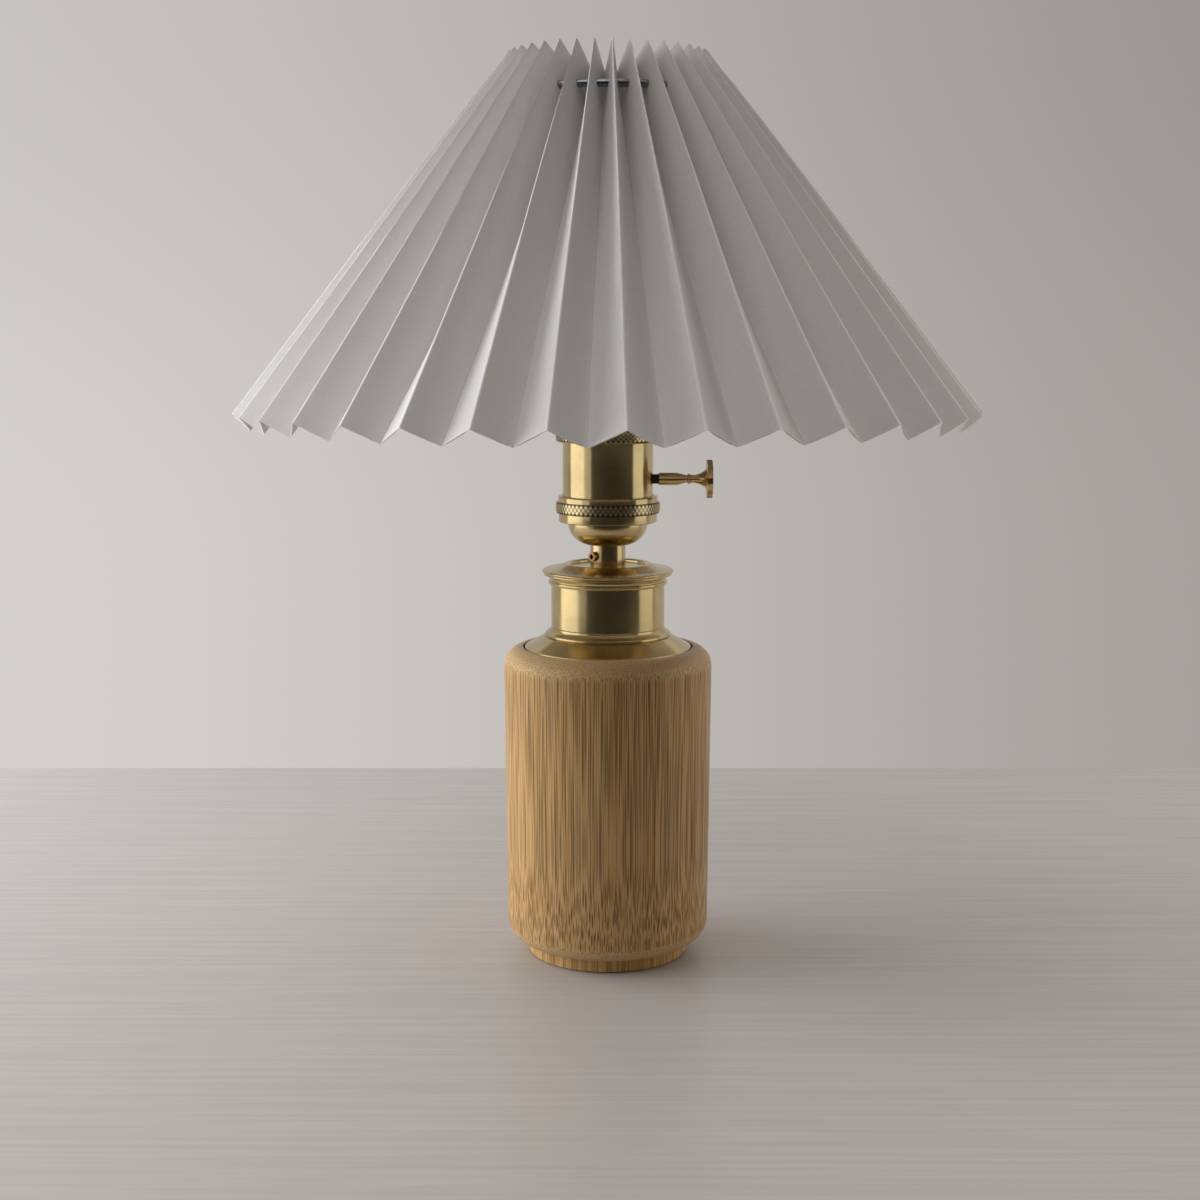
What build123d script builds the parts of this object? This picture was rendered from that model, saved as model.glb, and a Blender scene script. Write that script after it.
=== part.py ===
"""Cordless table lamp, in millimetres, +Z up, origin on the table under the middle of the base.

A turned bamboo base holds two battery cells and a charging board. A brass collar, sleeve and cap are
clamped on top of it by a threaded nipple, which also carries the lampholder. The lampholder has a turn
knob that dims the bulb, and two knurled rings that grip a wire carrier. A sheet folded into pleats
hangs on the carrier's top ring.
"""

import os
from math import atan2, cos, radians, sin

from build123d import *

os.makedirs("parts", exist_ok=True)


def write(builder, name):
    """Labels a finished piece and writes it to its own file."""
    builder.part.label = name
    export_step(builder.part, f"parts/{name}.step")


def polar(radius, degrees, level=0.0):
    """A point at a turn from the front of the lamp, counted towards the knob's side."""
    return (radius * sin(radians(degrees)), -radius * cos(radians(degrees)), level)


# Fits
slip = 0.1  # radial gap of a joint that slides or screws together
running = 0.05  # radial gap around the turning spindle
loose = 0.4  # gap around a piece that is dropped into a pocket

# Bamboo base
foot_radius = 33.8
foot_height = 5.3
body_height = 126.2
body_top_radius = 43.85
body_low_radius = 42.7
shoulder_round = 8.0
heel_round = 8.5
cavity_radius = 26.0
web_thickness = 17.0
recess_depth = 1.8
recess_gap = 0.7
spigot_height = 3.0

# Non-slip pad under the foot
pad_radius = 26.0
pad_width = 8.0
pad_thickness = 1.5
pad_proud = 0.5

# Screws under the base
base_screw_count = 3
base_screw_circle = 30.0
base_screw_radius = 1.75
base_screw_head = 3.4
base_screw_length = 16.0
cradle_screw_offset = 7.6
cradle_screw_radius = 1.25
cradle_screw_head = 2.4
cradle_screw_head_height = 1.6
cradle_screw_sink = 0.5
cradle_screw_bite = 7.0
countersink_angle = 90.0
cross_slot = 0.7
cross_slot_depth = 0.8

# Battery
cell_radius = 9.25
cell_length = 65.0
cell_round = 0.6
cell_button_radius = 3.0
cell_button_height = 0.8
cell_gap = 0.7  # between the two cells' sides
cradle_wall = 1.6
cradle_floor = 2.0
cradle_height = 10.0
cradle_lip = 2.2
cradle_round = 4.7
strip_width = 7.0
strip_thickness = 0.3
strip_round = 1.75

# Charging port and its board
port_level = 22.0
port_flange_radius = 7.0
port_flange_height = 1.2
port_barrel_radius = 5.6
port_chamfer = 0.4
port_sink = 1.3  # how deep the flat for the flange is cut into the round body
plug_width = 8.94
plug_height = 3.26
plug_wall = 0.3
plug_sink = 0.4
tongue_width = 6.7
tongue_height = 0.7
tongue_length = 5.0
tongue_sink = 1.5
light_radius = 0.9
light_rise = 4.2
board_width = 16.0
board_height = 32.0
board_thickness = 1.6
board_wall = 9.0  # bamboo left between the board and the flat of the port
chip_size = 5.0
chip_height = 1.2
chip_rises = (5.0, 12.5)  # of the chips' middles above the foot

# Brass neck
collar_radius = 35.1
collar_edge = 1.1
collar_foot = 2.6
collar_cone_radius = 27.0
collar_cone_rise = 6.4
collar_height = 10.6
collar_bead_radius = 26.4
collar_bead_height = 1.7
collar_bead_depth = 0.6
cove_depth = 0.4
collar_wall = 1.6
sleeve_radius = 23.8
sleeve_wall = 1.5
sleeve_height = 17.8
neck_spigot = 4.0
cap_foot_radius = 24.4
cap_foot_height = 1.8
cap_foot_bulge = 0.6
cap_cove_radius = 26.2
cap_cove_rise = 3.9
cap_rim_radius = 27.5
cap_rim_round = 0.6
cap_bead_radius = 18.9
cap_lip_radius = 15.6
cap_rim_rise = 5.4
cap_bead_rise = 8.6
cap_bead_height = 0.5
cap_slope_sag = 0.35
cap_floor_rise = 7.4
cap_floor_thickness = 1.6

# Threaded nipple with its nut and washer
nipple_radius = 5.0
nipple_bore = 3.4
nipple_below_nut = 2.0
nipple_above_hub = 3.0
nut_across_flats = 17.0
nut_height = 5.0
washer_radius = 12.0
washer_thickness = 1.5

# Lampholder
hub_radius = 7.4
hub_height = 9.0
hub_chamfer = 0.4
dome_round = 9.6
dome_radius = 16.6
dome_wall = 1.4
ring_lip = 0.8
ring_band_height = 3.8
ring_knurl_height = 4.8
ring_top_height = 2.3
ring_band_radius = 20.5
ring_knurl_radius = 21.8
ring_top_radius = 20.8
cap_flange_height = 4.6
cap_flange_width = 1.4
shell_radius = 18.85
shell_wall = 1.0
shell_height = 42.0
seat_ring_rise = 27.9
seat_ring_height = 6.0
lock_ring_height = 5.0
ring_chamfer = 0.4
set_screw_radius = 2.0
set_screw_proud = 1.8
set_screw_rise = 4.4
set_screw_turn = -48.0
set_screw_socket = 2.0  # across flats
set_screw_socket_depth = 1.8

# Dimmer
spindle_rise = 12.35  # above the shell's lower edge
spindle_radius = 2.0
spindle_slot = 5.2
dimmer_flange_height = 3.0
dimmer_height = 18.0
dimmer_length = 24.0
dimmer_width = 22.0
dimmer_boss_radius = 3.6
dimmer_boss_gap = 0.5  # between the boss and the shell
spindle_depth = 8.0  # how far the spindle reaches into the dimmer's boss
knob_gap = 2.3  # bare spindle between the shell and the knob
knob_bore_depth = 6.8
knob_chamfer = 0.3
knob_barrel_radius = 2.6
knob_barrel_length = 7.4
knob_taper_length = 4.5
knob_waist_radius = 1.5
knob_neck_radius = 1.7
knob_bead_radius = 2.2
knob_bead_width = 1.4
knob_flare_length = 6.6
knob_flare_radius = 4.4
knob_flare_sag = 0.9
knob_disc_radius = 7.95
knob_disc_thickness = 2.4

# Bulb socket inside the shell
thread_pitch = 3.63
thread_depth = 0.5
screw_shell_radius = 12.95  # to the middle of its thread
screw_shell_wall = 0.35
screw_shell_turns = 5
core_floor = 2.5
core_rim_below_shell = 0.6
contact_width = 6.0
contact_length = 12.0
contact_reach = 4.0  # of the sprung end past the axis
contact_thickness = 0.5
contact_rise = 2.6

# Bulb
bulb_tip_radius = 4.8
bulb_tip_height = 1.6
bulb_insulator_radius = 11.0
bulb_cap_wall = 0.4
bulb_cap_turns = 5
bulb_cap_skip = 2  # turns of the screw shell left below the bulb's cap
bulb_thread_gap = 0.3
bulb_collar_height = 14.0
bulb_collar_radius = 18.5
bulb_collar_wall = 1.5
globe_radius = 22.5
globe_wall = 1.2
emitter_thickness = 1.5
diode_size = 3.0
diode_height = 0.8
diode_count = 8
diode_circle = 9.5

# Wire carrier of the shade
carrier_washer_radius = 26.0
carrier_washer_thickness = 1.2
carrier_ring_radius = 43.4
carrier_ring_wire = 1.5
carrier_leg_wire = 1.0
carrier_leg_lap = 1.5  # from the ring's middle inwards to a leg's end
carrier_leg_foot = 24.0  # from the axis to a leg's foot
carrier_leg_count = 3
carrier_leg_turn = 60.0
carrier_ring_below_top = 17.5

# Pleated shade
pleat_count = 36
pleat_turn = 2.1  # from the front to the nearest outer fold
shade_above_holder = 141.8  # from the shell's upper edge to the outer folds' upper ends
shade_height = 142.75  # between the two ends of an outer fold
outer_top_radius = 39.2
outer_low_radius = 153.05
inner_top_radius = 27.0
inner_low_radius = 146.5
top_notch = 11.05  # how far the inner folds' upper ends lie below the outer ones
low_notch = 6.3
sheet = 0.5
sheet_stations = (0.0, 0.58, 0.84, 1.0)  # shares of the height where the sheet's section is drawn
hole_gap = 0.25
shade_spare = 2.0  # sheet folded past each end before the ends are cut

# Leads inside the base and the neck
lead_radius = 0.8
lead_side = 1.3
lead_bend = 6.0
lead_standoff = 18.0
lead_board_level = 28.0
lead_turn_below_nipple = 7.0
lead_turn_height = 14.0
battery_lead_rise = 12.0
battery_lead_side = 6.0
battery_lead_level = 18.0

# Levels, from the table up
foot_low = pad_proud
foot_top = foot_low + foot_height
spigot_top = foot_top + spigot_height
body_top = foot_top + body_height
collar_low = body_top - recess_depth
web_low = collar_low - web_thickness
washer_low = web_low - washer_thickness
nut_low = washer_low - nut_height
nipple_low = nut_low - nipple_below_nut
sleeve_low = collar_low + collar_height
sleeve_top = sleeve_low + sleeve_height
hub_low = sleeve_top + cap_floor_rise
dome_low = hub_low + hub_height
dome_top = dome_low + dome_round
nipple_top = dome_low + nipple_above_hub
cap_flange_low = dome_top + ring_lip
shell_low = cap_flange_low + cap_flange_height
ring_top = dome_top + ring_band_height + ring_knurl_height + ring_top_height
shell_top = shell_low + shell_height
spindle_level = shell_low + spindle_rise
dimmer_top = shell_low + dimmer_height
core_top = shell_top - core_rim_below_shell
seat_ring_low = shell_low + seat_ring_rise
carrier_low = seat_ring_low + seat_ring_height
lock_ring_low = carrier_low + carrier_washer_thickness
cradle_low = spigot_top
cells_low = cradle_low + cradle_floor + strip_thickness
cells_top = cells_low + cell_length
contact_top = dimmer_top + core_floor + contact_rise
bulb_low = contact_top
bulb_insulator_low = bulb_low + bulb_tip_height
bulb_cap_low = dimmer_top + core_floor + bulb_cap_skip * thread_pitch
bulb_cap_top = bulb_cap_low + bulb_cap_turns * thread_pitch
bulb_collar_top = bulb_cap_top + bulb_collar_height
globe_level = bulb_collar_top + (globe_radius**2 - bulb_collar_radius**2) ** 0.5
outer_top = shell_top + shade_above_holder
outer_low = outer_top - shade_height
inner_top = outer_top - top_notch
inner_low = outer_low - low_notch
carrier_ring_level = outer_top - carrier_ring_below_top

# Radii and places that follow from the sizes above
recess_radius = collar_radius + recess_gap
nipple_hole = nipple_radius + slip
shell_bore = shell_radius - shell_wall
ring_bore = shell_radius + slip
sleeve_bore = sleeve_radius - sleeve_wall
neck_spigot_radius = sleeve_bore - slip
neck_spigot_bore = neck_spigot_radius - collar_wall
cell_offset = cell_radius + cell_gap / 2
cell_bore = cell_radius + slip
cradle_length = 2 * (cell_offset + cell_bore + cradle_wall)
cradle_width = 2 * (cell_bore + cradle_wall)
strip_length = 2 * cell_offset + strip_width
port_share = (port_level - foot_top) / body_height
port_flat = body_low_radius + (body_top_radius - body_low_radius) * port_share - port_sink
board_pocket_reach = port_flat - board_wall
board_face = board_pocket_reach - board_thickness
knob_start = shell_radius + knob_gap
screw_shell_low = dimmer_top + core_floor
sleeve_thread_outer = screw_shell_radius + thread_depth + screw_shell_wall
bulb_thread_radius = screw_shell_radius - bulb_thread_gap
base_screw_turns = [i * 360 / base_screw_count for i in range(base_screw_count)]
base_screw_places = [polar(base_screw_circle, turn) for turn in base_screw_turns]
cradle_screw_places = [(0, cradle_screw_offset), (0, -cradle_screw_offset)]
cell_places = [(-cell_offset, 0), (cell_offset, 0)]
leg_turns = [pleat_turn + carrier_leg_turn + i * 360 / carrier_leg_count for i in range(carrier_leg_count)]


# Bamboo base

with BuildPart() as bamboo_body:
    with BuildSketch(Plane.XZ):
        with BuildLine():
            Polyline(
                (0, foot_top),
                (body_low_radius, foot_top),
                (body_top_radius, body_top),
                (0, body_top),
                close=True,
            )
        make_face()
    revolve(axis=Axis.Z)
    fillet(bamboo_body.edges().filter_by(GeomType.CIRCLE).sort_by(Axis.Z)[-1], shoulder_round)
    fillet(bamboo_body.edges().filter_by(GeomType.CIRCLE).sort_by(Axis.Z)[0], heel_round)
    with BuildSketch(Plane.XY.offset(foot_top)):
        Circle(cavity_radius)
    extrude(amount=web_low - foot_top, mode=Mode.SUBTRACT)
    with BuildSketch(Plane.XY.offset(collar_low)):
        Circle(recess_radius)
    extrude(amount=recess_depth, mode=Mode.SUBTRACT)
    with BuildSketch(Plane.XY.offset(web_low)):
        Circle(nipple_hole)
    extrude(amount=web_thickness, mode=Mode.SUBTRACT)
    # A pocket milled from below takes the charging board.
    with BuildSketch(Plane.XY.offset(foot_top)):
        with Locations((0, board_pocket_reach / 2)):
            Rectangle(board_width + 2 * loose, board_pocket_reach)
    extrude(amount=board_height + 2 * loose, mode=Mode.SUBTRACT)
    # The charging port goes through the rear wall, with a flat for its flange.
    with BuildSketch(Plane.XZ.offset(-board_face)):
        with Locations((0, port_level)):
            Circle(port_barrel_radius + slip)
    extrude(amount=-body_top_radius, mode=Mode.SUBTRACT)
    with BuildSketch(Plane.XZ.offset(-port_flat)):
        with Locations((0, port_level)):
            Circle(port_flange_radius + slip)
    extrude(amount=-body_top_radius, mode=Mode.SUBTRACT)
    with BuildSketch(Plane.XY.offset(foot_top)):
        with Locations(*base_screw_places):
            Circle(base_screw_radius + running)
    extrude(amount=base_screw_length, mode=Mode.SUBTRACT)
write(bamboo_body, "bamboo_body")

with BuildPart() as base_plate:
    with BuildSketch(Plane.XY.offset(foot_low)):
        Circle(foot_radius)
    extrude(amount=foot_height)
    with BuildSketch(Plane.XY.offset(foot_top)):
        Circle(cavity_radius - slip)
    extrude(amount=spigot_height)
    with BuildSketch(Plane.XY.offset(foot_low)):
        Circle(pad_radius + slip)
        Circle(pad_radius - pad_width - slip, mode=Mode.SUBTRACT)
    extrude(amount=pad_thickness - pad_proud, mode=Mode.SUBTRACT)
    with Locations(Plane.XY.offset(foot_low)):
        with Locations(*[Location(place, (180, 0, 0)) for place in base_screw_places]):
            CounterSinkHole(
                base_screw_radius + running,
                base_screw_head + running,
                counter_sink_angle=countersink_angle,
            )
        with Locations(*[Location((*place, 0), (180, 0, 0)) for place in cradle_screw_places]):
            CounterBoreHole(
                cradle_screw_radius + running,
                cradle_screw_head + slip,
                cradle_screw_sink + cradle_screw_head_height,
            )
write(base_plate, "base_plate")

with BuildPart() as foot_pad:
    with BuildSketch(Plane.XY):
        Circle(pad_radius)
        Circle(pad_radius - pad_width, mode=Mode.SUBTRACT)
    extrude(amount=pad_thickness)
write(foot_pad, "foot_pad")

with BuildPart() as base_screws:
    head_drop = base_screw_head - base_screw_radius
    with BuildSketch(Plane.XZ):
        with BuildLine():
            Polyline(
                (0, foot_low),
                (base_screw_head, foot_low),
                (base_screw_radius, foot_low + head_drop),
                (base_screw_radius, foot_low + base_screw_length - base_screw_radius),
                (0, foot_low + base_screw_length),
                close=True,
            )
        make_face()
    one_screw = revolve(axis=Axis.Z, mode=Mode.PRIVATE)
    with Locations(*base_screw_places):
        add(one_screw)
    with BuildSketch(Plane.XY.offset(foot_low)):
        with Locations(*base_screw_places):
            Rectangle(base_screw_head, cross_slot)
            Rectangle(cross_slot, base_screw_head)
    extrude(amount=cross_slot_depth, mode=Mode.SUBTRACT)
write(base_screws, "base_screws")


# Battery pack

with BuildPart() as lower_cradle:
    with BuildSketch(Plane.XY.offset(cradle_low)):
        RectangleRounded(cradle_length, cradle_width, cradle_round)
    extrude(amount=cradle_height)
    with BuildSketch(Plane.XY.offset(cradle_low + cradle_floor)):
        with Locations(*cell_places):
            Circle(cell_bore)
    extrude(amount=cradle_height, mode=Mode.SUBTRACT)
    with BuildSketch(Plane.XY.offset(cradle_low + cradle_floor)):
        Rectangle(strip_length, strip_width + 2 * slip)
    extrude(amount=strip_thickness + slip, mode=Mode.SUBTRACT)
    with BuildSketch(Plane.XY.offset(cradle_low)):
        with Locations(*cradle_screw_places):
            Circle(cradle_screw_radius + running)
    extrude(amount=cradle_screw_bite, mode=Mode.SUBTRACT)
write(lower_cradle, "cell_cradle_lower")

with BuildPart() as upper_cradle:
    with BuildSketch(Plane.XY.offset(cells_top + cradle_floor - cradle_height)):
        RectangleRounded(cradle_length, cradle_width, cradle_round)
        with Locations(*cell_places):
            Circle(cell_bore - cradle_lip, mode=Mode.SUBTRACT)
    extrude(amount=cradle_height)
    with BuildSketch(Plane.XY.offset(cells_top)):
        with Locations(*cell_places):
            Circle(cell_bore)
    extrude(amount=-cradle_height, mode=Mode.SUBTRACT)
write(upper_cradle, "cell_cradle_upper")

with BuildPart() as battery_cells:
    with BuildSketch(Plane.XY.offset(cells_low)):
        with Locations(*cell_places):
            Circle(cell_radius)
    extrude(amount=cell_length)
    fillet(battery_cells.edges().filter_by(GeomType.CIRCLE), cell_round)
    with BuildSketch(Plane.XY.offset(cells_top)):
        with Locations(cell_places[0]):
            Circle(cell_button_radius)
    extrude(amount=cell_button_height)
write(battery_cells, "battery_cells")

with BuildPart() as cell_strip:
    with BuildSketch(Plane.XY.offset(cradle_low + cradle_floor)):
        RectangleRounded(strip_length - 2 * slip, strip_width, strip_round)
    extrude(amount=strip_thickness)
write(cell_strip, "cell_strip")

with BuildPart() as cradle_screws:
    head_low = foot_low + cradle_screw_sink
    head_top = head_low + cradle_screw_head_height
    with BuildSketch(Plane.XY.offset(head_low)):
        with Locations(*cradle_screw_places):
            Circle(cradle_screw_head)
    extrude(amount=cradle_screw_head_height)
    with BuildSketch(Plane.XY.offset(head_top)):
        with Locations(*cradle_screw_places):
            Circle(cradle_screw_radius)
    extrude(amount=cradle_low + cradle_screw_bite - slip - head_top)
    with BuildSketch(Plane.XY.offset(head_low)):
        with Locations(*cradle_screw_places):
            Rectangle(cradle_screw_head, cross_slot)
            Rectangle(cross_slot, cradle_screw_head)
    extrude(amount=cross_slot_depth, mode=Mode.SUBTRACT)
write(cradle_screws, "cradle_screws")


# Charging port

with BuildPart() as charge_board:
    with BuildSketch(Plane.XZ.offset(-board_face)):
        with Locations((0, foot_top + board_height / 2)):
            Rectangle(board_width, board_height)
    extrude(amount=-board_thickness)
    with BuildSketch(Plane.XZ.offset(-board_face)):
        with Locations(*[(0, foot_top + rise) for rise in chip_rises]):
            Rectangle(chip_size, chip_size)
    extrude(amount=chip_height)
write(charge_board, "charge_board")

with BuildPart() as port_bezel:
    with BuildSketch(Plane.XZ.offset(-board_pocket_reach)):
        with Locations((0, port_level)):
            Circle(port_barrel_radius)
    extrude(amount=board_pocket_reach - port_flat)
    with BuildSketch(Plane.XZ.offset(-port_flat)):
        with Locations((0, port_level)):
            Circle(port_flange_radius)
    extrude(amount=-port_flange_height)
    chamfer(port_bezel.edges().filter_by(GeomType.CIRCLE).sort_by(Axis.Y)[-1], port_chamfer)
    with BuildSketch(Plane.XZ.offset(-board_pocket_reach)):
        with Locations((0, port_level)):
            SlotOverall(plug_width + 2 * slip, plug_height + 2 * slip)
        with Locations((0, port_level + light_rise)):
            Circle(light_radius + slip)
    extrude(amount=-body_top_radius, mode=Mode.SUBTRACT)
write(port_bezel, "port_bezel")

with BuildPart() as usb_socket:
    plug_length = port_flat + port_flange_height - plug_sink - board_pocket_reach
    with BuildSketch(Plane.XZ.offset(-board_pocket_reach)):
        with Locations((0, port_level)):
            SlotOverall(plug_width, plug_height)
    extrude(amount=-plug_length)
    with BuildSketch(Plane.XZ.offset(-board_pocket_reach - plug_length)):
        with Locations((0, port_level)):
            SlotOverall(plug_width - 2 * plug_wall, plug_height - 2 * plug_wall)
            Rectangle(tongue_width, tongue_height, mode=Mode.SUBTRACT)
    extrude(amount=tongue_length + tongue_sink, mode=Mode.SUBTRACT)
    with BuildSketch(Plane.XZ.offset(-board_pocket_reach - plug_length)):
        with Locations((0, port_level)):
            Rectangle(tongue_width, tongue_height)
    extrude(amount=tongue_sink, mode=Mode.SUBTRACT)
write(usb_socket, "usb_socket")

with BuildPart() as charge_light:
    with BuildSketch(Plane.XZ.offset(-board_pocket_reach)):
        with Locations((0, port_level + light_rise)):
            Circle(light_radius)
    extrude(amount=board_pocket_reach - port_flat - port_flange_height)
write(charge_light, "charge_light")


# Brass neck

with BuildPart() as collar_flange:
    cone_top = collar_low + collar_cone_rise
    bead_foot = collar_bead_radius - collar_bead_depth
    bead_top = cone_top + collar_bead_height
    with BuildSketch(Plane.XZ):
        with BuildLine():
            Polyline(
                (bead_foot, cone_top),
                (collar_cone_radius, cone_top),
                (collar_radius, collar_low + collar_edge),
                (collar_radius, collar_low),
                (collar_radius - collar_foot, collar_low),
                (collar_radius - collar_foot, collar_low + collar_edge),
                (neck_spigot_bore, cone_top),
                (neck_spigot_bore, sleeve_low + neck_spigot),
                (neck_spigot_radius, sleeve_low + neck_spigot),
                (neck_spigot_radius, sleeve_low),
                (sleeve_radius, sleeve_low),
            )
            SagittaArc((sleeve_radius, sleeve_low), (bead_foot, bead_top), cove_depth)
            ThreePointArc(
                (bead_foot, bead_top),
                (collar_bead_radius, (cone_top + bead_top) / 2),
                (bead_foot, cone_top),
            )
        make_face()
    revolve(axis=Axis.Z)
    edge = collar_flange.edges().filter_by(GeomType.CIRCLE).group_by(SortBy.RADIUS)[-1].sort_by(Axis.Z)[-1]
    fillet(edge, collar_edge / 2)
write(collar_flange, "collar_flange")

with BuildPart() as neck_sleeve:
    with BuildSketch(Plane.XY.offset(sleeve_low)):
        Circle(sleeve_radius)
        Circle(sleeve_bore, mode=Mode.SUBTRACT)
    extrude(amount=sleeve_height)
write(neck_sleeve, "neck_sleeve")

with BuildPart() as neck_cap:
    foot_end = sleeve_top + cap_foot_height
    cove_end = sleeve_top + cap_cove_rise
    rim_level = sleeve_top + cap_rim_rise
    bead_level = sleeve_top + cap_bead_rise
    bead_base = bead_level - cap_bead_height
    rim_in = cap_rim_radius - cap_rim_round
    with BuildSketch(Plane.XZ):
        with BuildLine():
            ThreePointArc(
                (cap_foot_radius, sleeve_top),
                (cap_foot_radius + cap_foot_bulge, (sleeve_top + foot_end) / 2),
                (cap_foot_radius, foot_end),
            )
            SagittaArc((cap_foot_radius, foot_end), (cap_cove_radius, cove_end), -cove_depth)
            Polyline((cap_cove_radius, cove_end), (rim_in, cove_end), (rim_in, rim_level - cap_rim_round))
            ThreePointArc(
                (rim_in, rim_level - cap_rim_round),
                (cap_rim_radius, rim_level),
                (rim_in, rim_level + cap_rim_round),
            )
            SagittaArc((rim_in, rim_level + cap_rim_round), (cap_bead_radius, bead_base), -cap_slope_sag)
            ThreePointArc(
                (cap_bead_radius, bead_base),
                ((cap_bead_radius + cap_lip_radius) / 2, bead_level),
                (cap_lip_radius, bead_base),
            )
            Polyline(
                (cap_lip_radius, bead_base),
                (cap_lip_radius, hub_low),
                (nipple_hole, hub_low),
                (nipple_hole, hub_low - cap_floor_thickness),
                (neck_spigot_bore, hub_low - cap_floor_thickness),
                (neck_spigot_bore, sleeve_top - neck_spigot),
                (neck_spigot_radius, sleeve_top - neck_spigot),
                (neck_spigot_radius, sleeve_top),
                (cap_foot_radius, sleeve_top),
            )
        make_face()
    revolve(axis=Axis.Z)
write(neck_cap, "neck_cap")

with BuildPart() as lamp_nipple:
    with BuildSketch(Plane.XY.offset(nipple_low)):
        Circle(nipple_radius)
        Circle(nipple_bore, mode=Mode.SUBTRACT)
    extrude(amount=nipple_top - nipple_low)
write(lamp_nipple, "lamp_nipple")

with BuildPart() as nipple_washer:
    with BuildSketch(Plane.XY.offset(washer_low)):
        Circle(washer_radius)
        Circle(nipple_hole, mode=Mode.SUBTRACT)
    extrude(amount=washer_thickness)
write(nipple_washer, "nipple_washer")

with BuildPart() as nipple_nut:
    with BuildSketch(Plane.XY.offset(nut_low)):
        RegularPolygon(nut_across_flats / 2, 6, major_radius=False)
        Circle(nipple_hole, mode=Mode.SUBTRACT)
    extrude(amount=nut_height)
write(nipple_nut, "nipple_nut")


# Lampholder

set_screw_level = hub_low + set_screw_rise
set_screw_start = nipple_radius + slip
set_screw_axis = polar(1, set_screw_turn)

with BuildPart() as socket_cap:
    dome_middle = dome_radius - dome_round
    dome_start = dome_top - (dome_round**2 - (hub_radius - dome_middle) ** 2) ** 0.5
    slant = dome_round * cos(radians(45))
    inner_round = dome_round - dome_wall
    inner_slant = inner_round * cos(radians(45))
    flange_bore = shell_radius - cap_flange_width
    with BuildSketch(Plane.XZ):
        with BuildLine():
            ThreePointArc(
                (hub_radius, dome_start), (dome_middle + slant, dome_top - slant), (dome_radius, dome_top)
            )
            Polyline(
                (dome_radius, dome_top),
                (dome_radius, cap_flange_low),
                (shell_radius, cap_flange_low),
                (shell_radius, shell_low),
                (flange_bore, shell_low),
                (flange_bore, cap_flange_low + ring_lip),
                (dome_radius - dome_wall, dome_top),
            )
            ThreePointArc(
                (dome_radius - dome_wall, dome_top),
                (dome_middle + inner_slant, dome_top - inner_slant),
                (dome_middle, dome_top - inner_round),
            )
            Polyline(
                (dome_middle, dome_top - inner_round),
                (nipple_hole, dome_top - inner_round),
                (nipple_hole, hub_low),
                (hub_radius - hub_chamfer, hub_low),
                (hub_radius, hub_low + hub_chamfer),
                (hub_radius, dome_start),
            )
        make_face()
    revolve(axis=Axis.Z)
    with BuildSketch(Plane(origin=(0, 0, set_screw_level), z_dir=set_screw_axis)):
        Circle(set_screw_radius + running)
    extrude(amount=2 * hub_radius, mode=Mode.SUBTRACT)
write(socket_cap, "socket_cap")

with BuildPart() as set_screw:
    set_screw_end = hub_radius + set_screw_proud
    inner_end = polar(set_screw_start, set_screw_turn, set_screw_level)
    outer_end = polar(set_screw_end, set_screw_turn, set_screw_level)
    with BuildSketch(Plane(origin=inner_end, z_dir=set_screw_axis)):
        Circle(set_screw_radius)
    extrude(amount=set_screw_end - set_screw_start)
    with BuildSketch(Plane(origin=outer_end, z_dir=set_screw_axis)):
        RegularPolygon(set_screw_socket / 2, 6, major_radius=False)
    extrude(amount=-set_screw_socket_depth, mode=Mode.SUBTRACT)
write(set_screw, "set_screw")

with BuildPart() as coupling_ring:
    knurl_low = dome_top + ring_band_height
    knurl_top = knurl_low + ring_knurl_height
    with BuildSketch(Plane.XZ):
        with BuildLine():
            Polyline(
                (dome_radius + slip, dome_top),
                (ring_band_radius - ring_chamfer, dome_top),
                (ring_band_radius, dome_top + ring_chamfer),
                (ring_band_radius, knurl_low),
                (ring_knurl_radius, knurl_low),
                (ring_knurl_radius, knurl_top),
                (ring_top_radius, knurl_top),
                (ring_top_radius, ring_top - ring_chamfer),
                (ring_top_radius - ring_chamfer, ring_top),
                (ring_bore, ring_top),
                (ring_bore, cap_flange_low),
                (dome_radius + slip, cap_flange_low),
                close=True,
            )
        make_face()
    revolve(axis=Axis.Z)
write(coupling_ring, "coupling_ring")

with BuildPart() as socket_shell:
    with BuildSketch(Plane.XY.offset(shell_low)):
        Circle(shell_radius)
        Circle(shell_bore, mode=Mode.SUBTRACT)
    extrude(amount=shell_height)
    with BuildSketch(Plane.YZ):
        with Locations((0, (shell_low + spindle_level) / 2)):
            Rectangle(spindle_slot, spindle_rise)
        with Locations((0, spindle_level)):
            Circle(spindle_slot / 2)
    extrude(amount=2 * shell_radius, mode=Mode.SUBTRACT)
write(socket_shell, "socket_shell")

for ring_name, low, height in (
    ("shade_seat_ring", seat_ring_low, seat_ring_height),
    ("shade_lock_ring", lock_ring_low, lock_ring_height),
):
    with BuildPart() as shade_ring:
        with BuildSketch(Plane.XY.offset(low)):
            Circle(ring_knurl_radius)
        extrude(amount=height)
        chamfer(shade_ring.edges().filter_by(GeomType.CIRCLE), ring_chamfer)
        with BuildSketch(Plane.XY.offset(low)):
            Circle(ring_bore)
        extrude(amount=height, mode=Mode.SUBTRACT)
    write(shade_ring, ring_name)


# Dimmer

boss_end = ((shell_bore**2 - dimmer_boss_radius**2) ** 0.5) - dimmer_boss_gap
spindle_start = boss_end - spindle_depth
spindle_end = knob_start + knob_bore_depth

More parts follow.
